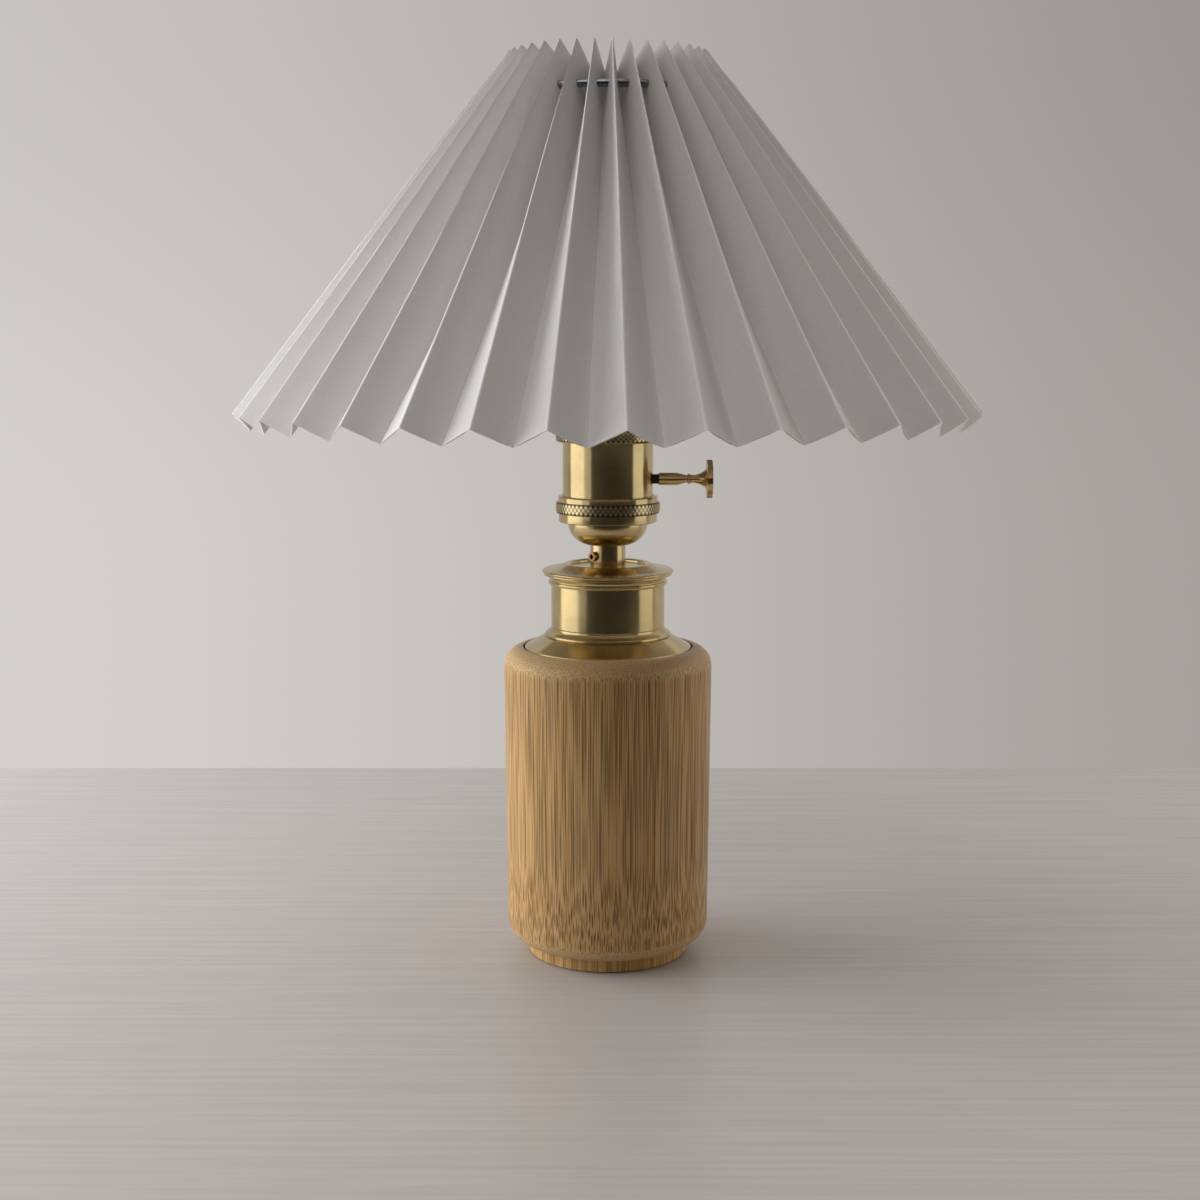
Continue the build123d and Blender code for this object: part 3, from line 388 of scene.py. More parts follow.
def dress(finish_name, *names):
    """Gives nodes whose shape stays a finish."""
    for name in names:
        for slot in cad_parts[name].material_slots:
            slot.material = finish(finish_name)


# Shader nodes

def add_node(tree, kind, inputs=None, **settings):
    """Adds a node, with its sockets set to values or linked to other sockets."""
    made = tree.nodes.new(kind)
    for name, value in settings.items():
        setattr(made, name, value)
    for socket, value in (inputs or {}).items():
        if isinstance(value, bpy.types.NodeSocket):
            tree.links.new(value, made.inputs[socket])
        else:
            made.inputs[socket].default_value = value
    return made


def math(tree, operation, first, second=0.0):
    """The result of one Math node."""
    return add_node(tree, "ShaderNodeMath", {0: first, 1: second}, operation=operation).outputs[0]


def mix_colour(tree, share, first, second):
    """A mix of two colours by a share."""
    inputs = {0: share, 6: first, 7: second}
    return add_node(tree, "ShaderNodeMix", inputs, data_type="RGBA").outputs[2]


def span(tree, value, low, high, to_low=0.0, to_high=1.0):
    """A value spread from one range to another, and held inside it."""
    inputs = {"Value": value, "From Min": low, "From Max": high, "To Min": to_low, "To Max": to_high}
    return add_node(tree, "ShaderNodeMapRange", inputs, interpolation_type="SMOOTHSTEP").outputs[0]


def noise_value(tree, vector, scale, detail=2.0, roughness=0.5):
    """The value of one Noise Texture."""
    inputs = {"Vector": vector, "Scale": scale, "Detail": detail, "Roughness": roughness}
    return add_node(tree, "ShaderNodeTexNoise", inputs).outputs[0]


def scaled(tree, vector, scale):
    """A vector multiplied by three scales."""
    inputs = {0: vector, 1: scale}
    return add_node(tree, "ShaderNodeVectorMath", inputs, operation="MULTIPLY").outputs[0]


def opaque(value):
    """A colour property with full opacity."""
    return (*value, 1.0)


def new_group(name, inputs, outputs):
    """An empty shader node group with named sockets, and its two end nodes."""
    group = bpy.data.node_groups.new(name, "ShaderNodeTree")
    for socket, kind, value in inputs:
        made = group.interface.new_socket(socket, in_out="INPUT", socket_type=kind)
        if value is not None:
            made.default_value = value
    for socket, kind in outputs:
        group.interface.new_socket(socket, in_out="OUTPUT", socket_type=kind)
    return group, group.nodes.new("NodeGroupInput").outputs, group.nodes.new("NodeGroupOutput").inputs


def place_group(tree, make, name, inputs):
    """The outputs of a group, which is made at its first use, with its inputs set or linked."""
    group = bpy.data.node_groups.get(name) or make(name)
    return add_node(tree, "ShaderNodeGroup", inputs, node_tree=group).outputs


def turned_lines_group(name):
    """Fine lines that a lathe tool leaves round a turned piece."""
    group, given, out = new_group(
        name,
        [("Vector", "NodeSocketVector", None), ("Density", "NodeSocketFloat", 3000.0)],
        [("Lines", "NodeSocketFloat"), ("Smudges", "NodeSocketFloat")],
    )
    parts = add_node(group, "ShaderNodeSeparateXYZ", {0: given["Vector"]}).outputs
    flat = add_node(group, "ShaderNodeCombineXYZ", {0: parts[0], 1: parts[1]}).outputs[0]
    radius = add_node(group, "ShaderNodeVectorMath", {0: flat}, operation="LENGTH").outputs["Value"]
    run = math(group, "ADD", math(group, "MULTIPLY", radius, 1.7), parts[2])
    across = math(group, "MULTIPLY", run, given["Density"])
    along = scaled(group, flat, (40.0, 40.0, 0.0))
    place = add_node(group, "ShaderNodeSeparateXYZ", {0: along}).outputs
    vector = add_node(group, "ShaderNodeCombineXYZ", {0: place[0], 1: place[1], 2: across}).outputs[0]
    group.links.new(noise_value(group, vector, 1.0, 3.0, 0.6), out["Lines"])
    group.links.new(noise_value(group, given["Vector"], 90.0, 3.0, 0.6), out["Smudges"])
    return group


def bamboo_grain_group(name):
    """Upright bamboo fibres through the whole piece, cut open by its surface."""
    group, given, out = new_group(
        name,
        [
            ("Vector", "NodeSocketVector", None),
            ("Light", "NodeSocketColor", None),
            ("Middle", "NodeSocketColor", None),
            ("Dark", "NodeSocketColor", None),
            ("Grey", "NodeSocketColor", None),
            ("Shoulder", "NodeSocketFloat", 1.0),
            ("Heel", "NodeSocketFloat", 0.0),
            ("Bend start", "NodeSocketFloat", 0.06),
            ("Bend", "NodeSocketFloat", 0.09),
        ],
        [("Color", "NodeSocketColor"), ("Fibres", "NodeSocketFloat")],
    )
    # Below the start level the fibres lean outwards, so the surface cuts them into short dashes.
    level = add_node(group, "ShaderNodeSeparateXYZ", {0: given["Vector"]}).outputs[2]
    below = math(group, "SUBTRACT", given["Bend start"], level)
    share = math(group, "DIVIDE", math(group, "MAXIMUM", below, 0.0), given["Bend start"])
    lean = math(group, "MULTIPLY", math(group, "MULTIPLY", share, share), given["Bend"])
    widen = math(group, "ADD", lean, 1.0)
    stretch = add_node(group, "ShaderNodeCombineXYZ", {0: widen, 1: widen, 2: 1.0}).outputs[0]
    place = scaled(group, given["Vector"], stretch)
    flat = {"voronoi_dimensions": "2D"}
    bundles = add_node(group, "ShaderNodeTexVoronoi", {"Vector": place, "Scale": 1850.0}, **flat).outputs
    threads = add_node(group, "ShaderNodeTexVoronoi", {"Vector": place, "Scale": 2400.0}, **flat).outputs
    chance = add_node(group, "ShaderNodeSeparateXYZ", {0: bundles["Color"]}).outputs
    strips = noise_value(group, scaled(group, place, (260.0, 260.0, 8.0)), 1.0, 2.0)
    # The rounded shoulder and heel cut the fibres across, where they show as faint dots.
    fade = 6 * MILLIMETRE
    top = span(group, level, given["Shoulder"], math(group, "ADD", given["Shoulder"], fade), 1.0, 0.55)
    low = span(group, level, math(group, "SUBTRACT", given["Heel"], fade), given["Heel"], 0.35, 1.0)
    ends = math(group, "MULTIPLY", top, low)
    shown = math(group, "MULTIPLY", span(group, chance[0], 0.0, 1.0, 0.48, 1.0), ends)
    dark = math(group, "MULTIPLY", span(group, bundles["Distance"], 0.2, 0.5, 1.0, 0.0), shown)
    light = math(group, "MULTIPLY", span(group, threads["Distance"], 0.1, 0.5, 1.0, 0.0), ends)
    tone = mix_colour(group, math(group, "MULTIPLY", light, 0.8), given["Middle"], given["Light"])
    tone = mix_colour(group, span(group, strips, 0.4, 0.62, 0.3, 0.0), tone, given["Light"])
    # Paler towards the shoulder as painted light from above on its upward face, and paler towards the heel.
    tone = mix_colour(group, span(group, ends, 0.55, 1.0, 0.7, 0.0), tone, given["Light"])
    fibre = mix_colour(group, span(group, chance[1], 0.55, 0.75), given["Dark"], given["Grey"])
    group.links.new(mix_colour(group, dark, tone, fibre), out["Color"])
    fibres = math(group, "SUBTRACT", 1.0, math(group, "ADD", dark, math(group, "MULTIPLY", light, 0.3)))
    group.links.new(fibres, out["Fibres"])
    return group


def grain_group(name):
    """A fine grain and a broad, faint unevenness for moulded and plated surfaces."""
    group, given, out = new_group(
        name,
        [
            ("Vector", "NodeSocketVector", None),
            ("Color", "NodeSocketColor", None),
            ("Shadow", "NodeSocketColor", None),
            ("Grain scale", "NodeSocketFloat", 2500.0),
            ("Roughness", "NodeSocketFloat", 0.5),
        ],
        [("Color", "NodeSocketColor"), ("Grain", "NodeSocketFloat"), ("Roughness", "NodeSocketFloat")],
    )
    grain = noise_value(group, given["Vector"], given["Grain scale"], 2.0)
    broad = noise_value(group, given["Vector"], 60.0, 3.0)
    mixed = math(group, "ADD", math(group, "MULTIPLY", grain, 0.5), math(group, "MULTIPLY", broad, 0.5))
    group.links.new(
        mix_colour(group, span(group, mixed, 0.38, 0.62), given["Shadow"], given["Color"]), out["Color"]
    )
    group.links.new(grain, out["Grain"])
    uneven = span(group, broad, 0.3, 0.7, -0.06, 0.06)
    group.links.new(math(group, "ADD", given["Roughness"], uneven), out["Roughness"])
    return group


# Finishes

def new_material(name, constants):
    """A material, its node tree, its shader's inputs and the piece's own coordinates."""
    made = bpy.data.materials.new(name)
    made.use_nodes = True
    tree = made.node_tree
    inputs = tree.nodes["Principled BSDF"].inputs
    for socket, value in constants.items():
        inputs[socket].default_value = value
    place = add_node(tree, "ShaderNodeTexCoord").outputs["Object"]
    return made, tree, inputs, place


def bump(tree, inputs, height, strength, depth):
    """Gives a shader small relief, depth in metres."""
    made = add_node(tree, "ShaderNodeBump", {"Height": height, "Strength": strength, "Distance": depth})
    tree.links.new(made.outputs[0], inputs["Normal"])


def brass_finish(name, tone, roughness, place_turn=None, grooved=False):
    """Satin brass with fine lines round it and faint smudges, with painted shade where it is grooved."""
    turned = {"Metallic": 1.0, "Anisotropic": 0.0 if grooved else 0.65, "Anisotropic Rotation": 0.25}
    made, tree, inputs, place = new_material(name, turned)
    axis = "X" if place_turn else "Z"
    around = add_node(tree, "ShaderNodeTangent", direction_type="RADIAL", axis=axis).outputs[0]
    tree.links.new(around, inputs["Tangent"])
    if place_turn:
        mapping = add_node(tree, "ShaderNodeMapping", {"Vector": place}, vector_type="TEXTURE")
        mapping.inputs["Location"].default_value = place_turn[0]
        mapping.inputs["Rotation"].default_value = place_turn[1]
        place = mapping.outputs[0]
    values = {"Vector": place, "Density": 4200.0}
    marks = place_group(tree, turned_lines_group, "Turned lines", values)
    worn = [value * 0.86 for value in tone]
    shade = mix_colour(tree, span(tree, marks["Smudges"], 0.35, 0.65), opaque(worn), opaque(tone))
    if grooved:
        groove = add_node(tree, "ShaderNodeAttribute", attribute_name="groove").outputs["Fac"]
        # Painted shade: the knurl's grooves are darkened as if the points shade them.
        painted_groove_shade = opaque([0.1 * value for value in tone])
        shade = mix_colour(tree, span(tree, groove, 0.6, 1.0), shade, painted_groove_shade)
    tree.links.new(shade, inputs["Base Color"])
    spread = math(tree, "MULTIPLY", marks["Lines"], 0.06)
    smudge = math(tree, "MULTIPLY", marks["Smudges"], 0.06)
    rough = math(tree, "ADD", math(tree, "ADD", spread, smudge), roughness - 0.08)
    tree.links.new(rough, inputs["Roughness"])
    bump(tree, inputs, marks["Lines"], 0.15, 0.00002)
    return made


def brass(name):
    """Satin brass of the neck and the lampholder."""
    return brass_finish(name, bpy.context.scene.lamp_colours.brass, 0.21)


def knurled_brass(name):
    """Satin brass of the knurled rings, lightened as painted light and with painted shade in the grooves.
    """
    return brass_finish(name, bpy.context.scene.lamp_colours.knurl_brass_painted_light, 0.3, grooved=True)


def knob_brass(name):
    """Browner brass of the knob, its lines running round the knob's own axis."""
    low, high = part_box("dimmer_knob")
    centre = (0.0, 0.0, (low[2] + high[2]) / 2)
    turn = (centre, (0.0, radians(90), 0.0))
    return brass_finish(name, bpy.context.scene.lamp_colours.knob_brass, 0.26, turn)


def screw_brass(name):
    """Dark brass of the locking screw."""
    return brass_finish(name, bpy.context.scene.lamp_colours.screw_brass, 0.3)


def bamboo_finish(name, light, middle, dark, bend, heel):
    """Sanded bamboo with a thin satin lacquer."""
    lacquer = {"Specular IOR Level": 0.3, "Coat Weight": 0.2, "Coat Roughness": 0.2}
    made, tree, inputs, place = new_material(name, lacquer)
    values = {
        "Vector": place,
        "Light": opaque(light),
        "Middle": opaque(middle),
        "Dark": opaque(dark),
        "Grey": opaque(bpy.context.scene.lamp_colours.bamboo_grey),
        "Shoulder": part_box("bamboo_body")[1][2] - bpy.context.scene.lamp_base.shoulder,
        "Heel": heel,
        "Bend": bend,
    }
    grain = place_group(tree, bamboo_grain_group, "Bamboo grain", values)
    tree.links.new(grain["Color"], inputs["Base Color"])
    tree.links.new(span(tree, grain["Fibres"], 0.0, 1.0, 0.56, 0.42), inputs["Roughness"])
    bump(tree, inputs, grain["Fibres"], 0.3, 0.00008)
    return made


def bamboo(name):
    """Tan bamboo of the base."""
    tones = bpy.context.scene.lamp_colours
    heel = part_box("bamboo_body")[0][2] + bpy.context.scene.lamp_base.heel
    return bamboo_finish(name, tones.bamboo_light, tones.bamboo_middle, tones.bamboo_dark, 0.08, heel)


def foot_bamboo(name):
    """Yellower bamboo of the foot."""
    tones = bpy.context.scene.lamp_colours
    return bamboo_finish(name, tones.foot_light, tones.foot_middle, tones.foot_dark, 0.0, 0.0)


def shade_sheet(name):
    """White sheet with fine fibres, with a painted highlight along its outer folds and painted shade in its
    inner ones.
    """
    tones = bpy.context.scene.lamp_colours
    thin = {"Specular IOR Level": 0.3, "Subsurface Weight": 0.3, "Subsurface Scale": 0.0006}
    made, tree, inputs, place = new_material(name, thin)
    inputs["Subsurface Radius"].default_value = (1.0, 1.0, 1.0)
    first = noise_value(tree, scaled(tree, place, (2600.0, 2600.0, 700.0)), 1.0, 2.0)
    second = noise_value(tree, scaled(tree, place, (800.0, 800.0, 2800.0)), 1.0, 2.0)
    fibres = math(tree, "MULTIPLY", math(tree, "ADD", first, second), 0.5)
    tone = mix_colour(tree, span(tree, fibres, 0.4, 0.6), opaque(tones.sheet_fibre), opaque(tones.sheet))
    fold = add_node(tree, "ShaderNodeAttribute", attribute_name="fold").outputs["Fac"]
    # Painted highlight: the outer folds are whitened as if their ridges catch the light.
    tone = mix_colour(tree, span(tree, fold, 0.75, 1.0), tone, (0.95, 0.95, 0.94, 1.0))
    # Painted shade: the inner folds are darkened as if the pleats shade them.
    tone = mix_colour(tree, span(tree, fold, -1.0, -0.9, 0.45, 0.0), tone, (0.4, 0.38, 0.37, 1.0))
    tree.links.new(tone, inputs["Base Color"])
    tree.links.new(span(tree, fibres, 0.35, 0.65, 0.62, 0.5), inputs["Roughness"])
    bump(tree, inputs, fibres, 0.18, 0.00003)
    return made


def grained(name, tone, shadow, roughness, scale, depth, constants=()):
    """A moulded, plated or glazed surface with its own grain."""
    made, tree, inputs, place = new_material(name, dict(constants))
    values = {
        "Vector": place,
        "Color": opaque(tone),
        "Shadow": opaque(shadow),
        "Grain scale": scale,
        "Roughness": roughness,
    }
    surface = place_group(tree, grain_group, "Surface grain", values)
    tree.links.new(surface["Color"], inputs["Base Color"])
    tree.links.new(surface["Roughness"], inputs["Roughness"])
    bump(tree, inputs, surface["Grain"], 0.3, depth)
    return made


METAL = {"Metallic": 1.0}


def wire_steel(name):
    """Galvanised wire."""
    return grained(name, (0.32, 0.34, 0.37), (0.22, 0.23, 0.25), 0.26, 900.0, 0.00003, METAL)


def zinc_steel(name):
    """Zinc plated screws and nuts."""
    return grained(name, (0.58, 0.58, 0.6), (0.44, 0.44, 0.47), 0.32, 1600.0, 0.00002, METAL)


def nickel(name):
    """Bright nickel plate."""
    return grained(name, (0.66, 0.62, 0.56), (0.55, 0.51, 0.45), 0.2, 1400.0, 0.00001, METAL)


def contact_brass(name):
    """Rolled brass of the contacts."""
    return grained(name, (0.66, 0.45, 0.18), (0.5, 0.33, 0.12), 0.3, 1800.0, 0.00001, METAL)


def pad_rubber(name):
    """Matt dark grey rubber."""
    return grained(name, (0.035, 0.035, 0.036), (0.02, 0.02, 0.02), 0.78, 2200.0, 0.00006)


def black_plastic(name):
    """Black moulded plastic with a fine spark texture."""
    return grained(name, (0.02, 0.02, 0.021), (0.012, 0.012, 0.012), 0.48, 3000.0, 0.00003)


def white_plastic(name):
    """White moulded plastic of the bulb."""
    return grained(name, (0.8, 0.79, 0.77), (0.74, 0.73, 0.71), 0.4, 2600.0, 0.00002)


def porcelain(name):
    """White glazed porcelain."""
    return grained(name, (0.82, 0.81, 0.78), (0.76, 0.75, 0.72), 0.16, 700.0, 0.00002, {"Coat Weight": 0.3})


def opal(name):
    """Opal diffuser of the bulb."""
    return grained(
        name, (0.86, 0.85, 0.83), (0.82, 0.81, 0.79), 0.32, 1200.0, 0.00001, {"Subsurface Weight": 0.4}
    )


def emitter_white(name):
    """Yellowish white board of the bulb with its diodes."""
    return grained(name, (0.84, 0.8, 0.62), (0.8, 0.78, 0.72), 0.42, 420.0, 0.00001)


def cell_sleeve(name):
    """Shrunk sleeve of the battery cells."""
    return grained(name, (0.05, 0.12, 0.3), (0.035, 0.09, 0.24), 0.34, 800.0, 0.00003)


def lead_red(name):
    """Red lead."""
    return grained(name, (0.42, 0.02, 0.02), (0.3, 0.012, 0.012), 0.42, 1500.0, 0.00002)


def lead_black(name):
    """Black lead."""
    return grained(name, (0.016, 0.016, 0.017), (0.01, 0.01, 0.01), 0.42, 1500.0, 0.00002)


def light_pipe(name):
    """Milky light pipe of the charging light."""
    return grained(name, (0.72, 0.76, 0.74), (0.62, 0.68, 0.66), 0.25, 900.0, 0.00001)


def board_green(name):
    """Green board with lighter tracks under its lacquer."""
    made, tree, inputs, place = new_material(name, {"Specular IOR Level": 0.5})
    bricks = add_node(
        tree,
        "ShaderNodeTexBrick",
        {
            "Vector": place,
            "Color1": (0.012, 0.09, 0.035, 1.0),
            "Color2": (0.016, 0.115, 0.045, 1.0),
            "Mortar": (0.05, 0.2, 0.08, 1.0),
            "Scale": 260.0,
            "Mortar Size": 0.06,
        },
    )
    tree.links.new(bricks.outputs["Color"], inputs["Base Color"])
    tree.links.new(span(tree, bricks.outputs["Fac"], 0.0, 1.0, 0.32, 0.45), inputs["Roughness"])
    bump(tree, inputs, bricks.outputs["Fac"], 0.3, 0.00004)
    return made


def pale_floor(name):
    """Pale, faintly glossy floor with faint streaks from side to side."""
    made, tree, inputs, place = new_material(name, {"Specular IOR Level": 0.35})
    tone = bpy.context.scene.lamp_colours.floor
    shadow = [value * 0.93 for value in tone]
    streaks = noise_value(tree, scaled(tree, place, (7.0, 330.0, 1.0)), 1.0, 3.0, 0.6)
    shade = mix_colour(tree, span(tree, streaks, 0.36, 0.64), opaque(shadow), opaque(tone))
    tree.links.new(shade, inputs["Base Color"])
    tree.links.new(span(tree, streaks, 0.3, 0.7, 0.38, 0.3), inputs["Roughness"])
    bump(tree, inputs, streaks, 0.2, 0.00003)
    return made


FINISHES = {
    "Brass": brass,
    "Knurled brass": knurled_brass,
    "Knob brass": knob_brass,
    "Screw brass": screw_brass,
    "Bamboo": bamboo,
    "Foot bamboo": foot_bamboo,
    "Shade sheet": shade_sheet,
    "Wire steel": wire_steel,
    "Zinc steel": zinc_steel,
    "Nickel": nickel,
    "Contact brass": contact_brass,
    "Pad rubber": pad_rubber,
    "Black plastic": black_plastic,
    "White plastic": white_plastic,
    "Porcelain": porcelain,
    "Opal": opal,
    "Emitter white": emitter_white,
    "Cell sleeve": cell_sleeve,
    "Lead red": lead_red,
    "Lead black": lead_black,
    "Light pipe": light_pipe,
    "Board green": board_green,
    "Pale floor": pale_floor,
}


def finish(name):
    """A finish by name, made at its first use."""
    return bpy.data.materials.get(name) or FINISHES[name](name)


# Pieces

class LAMP_OT_bamboo_base(Operator):
    """Finishes the bamboo base, its foot and the pad under it."""

    bl_idname = "lamp.bamboo_base"
    bl_label = "Bamboo Base"

    def execute(self, context):
        dress("Bamboo", "bamboo_body")
        dress("Foot bamboo", "base_plate")
        dress("Pad rubber", "foot_pad")
        dress("Zinc steel", "base_screws", "cradle_screws")
        return {"FINISHED"}


class LAMP_OT_brass_neck(Operator):
    """Turns the brass collar, sleeve and cap of the neck."""

    bl_idname = "lamp.brass_neck"
    bl_label = "Brass Neck"

    def execute(self, context):
        sizes = context.scene.lamp_neck
        self.add_collar(sizes)
        self.add_sleeve(sizes)
        self.add_cap(sizes)
        return {"FINISHED"}

    def spigot(self, sizes):
        """Outer and inner radius of the spigots that fit into the sleeve."""
        outer = round_node("neck_sleeve")[0] - sizes.wall - sizes.slip
        return outer, outer - sizes.spigot_wall

    def add_collar(self, sizes):
        """The cone collar with its bead and cove."""
        radius, low, top = round_node("collar_flange")
        sleeve_radius, sleeve_low, _ = round_node("neck_sleeve")
        outer, inner = self.spigot(sizes)
        cone_top = low + sizes.cone_rise
        bead_foot = sizes.bead_radius - sizes.bead_depth
        bead_top = cone_top + sizes.bead_height
        edge = (radius, low + sizes.collar_edge)
        lip = (radius - sizes.lip_width, edge[1] + sizes.lip_rise)
        profile = [
            (sizes.cone_radius, cone_top),
            (bead_foot, cone_top),
            *bow((bead_foot, cone_top), (bead_foot, bead_top), -sizes.bead_depth),
            *bow((bead_foot, bead_top), (sleeve_radius, sleeve_low), sizes.cove_depth),
            (outer, sleeve_low),
            (outer, top),
            (inner, top),
            (inner, cone_top),
            (radius - sizes.collar_foot, low + sizes.collar_edge),
            (radius - sizes.collar_foot, low),
            (radius, low),
            edge,
            *bow(edge, lip, -sizes.lip_bulge),
        ]
        add_turned("brass_collar", profile, sizes.steps, sizes.collar_round, "collar_flange")

    def add_sleeve(self, sizes):
        """The plain sleeve."""
        radius, low, top = round_node("neck_sleeve")
        bore = radius - sizes.wall
        profile = [(bore, low), (radius, low), (radius, top), (bore, top)]
        add_turned("brass_sleeve", profile, sizes.steps, sizes.edge_round, "neck_sleeve")

    def add_cap(self, sizes):
        """The moulded cap with its raised ring round a shallow dish."""
        rim_radius, spigot_low, bead_top = round_node("neck_cap")
        sleeve_top = round_node("neck_sleeve")[2]
        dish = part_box("socket_cap")[0][2]
        bead_base = bead_top - sizes.cap_bead_height
        outer, inner = self.spigot(sizes)
        foot = sizes.cap_foot_radius
        foot_top = sleeve_top + sizes.cap_foot_height
        cove = (sizes.cap_cove_radius, sleeve_top + sizes.cap_cove_rise)
        rim_in = rim_radius - sizes.cap_rim_round
        rim_level = sleeve_top + sizes.cap_rim_rise
        rim_low = (rim_in, rim_level - sizes.cap_rim_round)
        rim_top = (rim_in, rim_level + sizes.cap_rim_round)
        ring_out = (sizes.cap_bead_radius, bead_base)
        ring_in = (sizes.cap_lip_radius, bead_base)
        profile = [
            (foot, sleeve_top),
            *bow((foot, sleeve_top), (foot, foot_top), -sizes.cap_foot_bulge),
            *bow((foot, foot_top), cove, sizes.cove_depth),
            (rim_in, cove[1]),
            rim_low,
            *bow(rim_low, rim_top, -sizes.cap_rim_round),
            *bow(rim_top, ring_out, sizes.cap_slope_sag),
            *bow(ring_out, ring_in, -sizes.cap_bead_height),
            (sizes.cap_lip_radius, dish),
            (sizes.nipple_hole, dish),
            (sizes.nipple_hole, dish - sizes.cap_floor),
            (inner, dish - sizes.cap_floor),
            (inner, spigot_low),
            (outer, spigot_low),
            (outer, sleeve_top),
        ]
        add_turned("brass_cap", profile, sizes.steps, sizes.edge_round, "neck_cap")


def knurl_rows(low, top, pitch):
    """Count of half points between two levels, as an even number."""
    return 2 * max(1, round((top - low) / pitch))


def knurl(shape, root, low, top, rows, sizes):
    """Raises every other corner between two levels, so that the band becomes diamond points."""
    steps = 2 * sizes.knurl_points
    tiny = 0.01 * MILLIMETRE
    # The groove mark places painted shade on the corners that stay down.
    groove = shape.verts.layers.float.new("groove")
    band = []
    for corner in shape.verts:
        radius = hypot(corner.co.x, corner.co.y)
        if abs(radius - root) < tiny and low - tiny < corner.co.z < top + tiny:
            band.append(corner)
    faces = {face for corner in band for face in corner.link_faces if set(face.verts) <= set(band)}
    for corner in band:
        row = round((corner.co.z - low) / (top - low) * rows)
        step = round(atan2(corner.co.y, corner.co.x) / (2 * pi) * steps)
        if 0 < row < rows and (row + step) % 2 == 0:
            corner.co.xy *= (root + sizes.knurl_depth) / root
        else:
            corner[groove] = 1.0
    for face in faces:
        face.material_index = 1
    bmesh.ops.triangulate(shape, faces=list(faces), quad_method="SHORT_EDGE")
    shade_smooth(shape, 75)


def add_ring(name, shape, node):
    """Makes a ring with plain brass bands and a knurl."""
    ring = add_piece(name, shape, node, "Brass")
    ring.data.materials.append(finish("Knurled brass"))
    even_shading(ring)


class LAMP_OT_lampholder(Operator):
    """Turns the lampholder's cap and its knurled rings."""

    bl_idname = "lamp.lampholder"
    bl_label = "Lampholder"

    def execute(self, context):
        sizes = context.scene.lamp_holder
        self.add_cap(sizes, context.scene.lamp_neck)
        self.add_coupling_ring(sizes, context.scene.lamp_neck.slip)
        for node in ("shade_seat_ring", "shade_lock_ring"):
            self.add_shade_ring(node, sizes, context.scene.lamp_neck.slip)
        dress("Brass", "socket_shell")
        dress("Screw brass", "set_screw")
        dress("Zinc steel", "lamp_nipple", "nipple_nut", "nipple_washer")
        dress("Porcelain", "socket_core")
        dress("Contact brass", "screw_shell", "centre_contact")
        return {"FINISHED"}

    def add_cap(self, sizes, neck):
        """The hub and the dome under the coupling ring."""
        flange, low, top = round_node("socket_cap")
        dome_top = round_node("coupling_ring")[1]
        middle = sizes.dome_radius - sizes.dome_round
        start = dome_top - (sizes.dome_round**2 - (sizes.hub_radius - middle) ** 2) ** 0.5
        lip = dome_top + sizes.lip
        inner = sizes.dome_round - sizes.dome_wall
        share = 1 - cos(radians(45))
        hub = (sizes.hub_radius, start)
        rim = (sizes.dome_radius, dome_top)
        inner_rim = (sizes.dome_radius - sizes.dome_wall, dome_top)
        inner_foot = (middle, dome_top - inner)
        profile = [
            hub,
            *bow(hub, rim, -sizes.dome_round * share, 20),
            (sizes.dome_radius, lip),
            (flange, lip),
            (flange, top),
            (flange - sizes.dome_wall, top),
            (flange - sizes.dome_wall, lip + sizes.lip),
            inner_rim,
            *bow(inner_rim, inner_foot, inner * share, 12),
            (neck.nipple_hole, dome_top - inner),
            (neck.nipple_hole, low),
            (sizes.hub_radius, low),
        ]
        add_turned("lampholder_cap", profile, sizes.steps, neck.edge_round, "socket_cap")

    def add_coupling_ring(self, sizes, slip):
        """The lower ring, knurled between two plain bands."""
        radius, low, top = round_node("coupling_ring")
        shell = round_node("socket_shell")[0]
        root = radius - sizes.knurl_depth
        knurl_low = low + sizes.band_height
        knurl_top = top - sizes.top_height
        rows = knurl_rows(knurl_low, knurl_top, sizes.knurl_pitch)
        bore = shell + slip
        dome = sizes.dome_radius + slip
        profile = [
            (dome, low),
            (sizes.band_radius - sizes.chamfer, low),
            (sizes.band_radius, low + sizes.chamfer),
            (sizes.band_radius, knurl_low),
            *[(root, knurl_low + (knurl_top - knurl_low) * row / rows) for row in range(rows + 1)],
            (sizes.top_radius, knurl_top),
            (sizes.top_radius, top - sizes.chamfer),
            (sizes.top_radius - sizes.chamfer, top),
            (bore, top),
            (bore, low + sizes.lip),
            (dome, low + sizes.lip),
        ]
        shape = turn_profile(profile, 2 * sizes.knurl_points)
        knurl(shape, root, knurl_low, knurl_top, rows, sizes)
        add_ring("knurled_coupling", shape, "coupling_ring")

    def add_shade_ring(self, node, sizes, slip):
        """A ring that is knurled over its whole height."""
        radius, low, top = round_node(node)
        bore = round_node("socket_shell")[0] + slip
        root = radius - sizes.knurl_depth
        knurl_low = low + sizes.chamfer
        knurl_top = top - sizes.chamfer
        rows = knurl_rows(knurl_low, knurl_top, sizes.knurl_pitch)
        profile = [
            (bore, low),
            (root - sizes.chamfer, low),
            *[(root, knurl_low + (knurl_top - knurl_low) * row / rows) for row in range(rows + 1)],
            (root - sizes.chamfer, top),
            (bore, top),
        ]
        shape = turn_profile(profile, 2 * sizes.knurl_points)
        knurl(shape, root, knurl_low, knurl_top, rows, sizes)
        add_ring(node.replace("shade", "knurled"), shape, node)


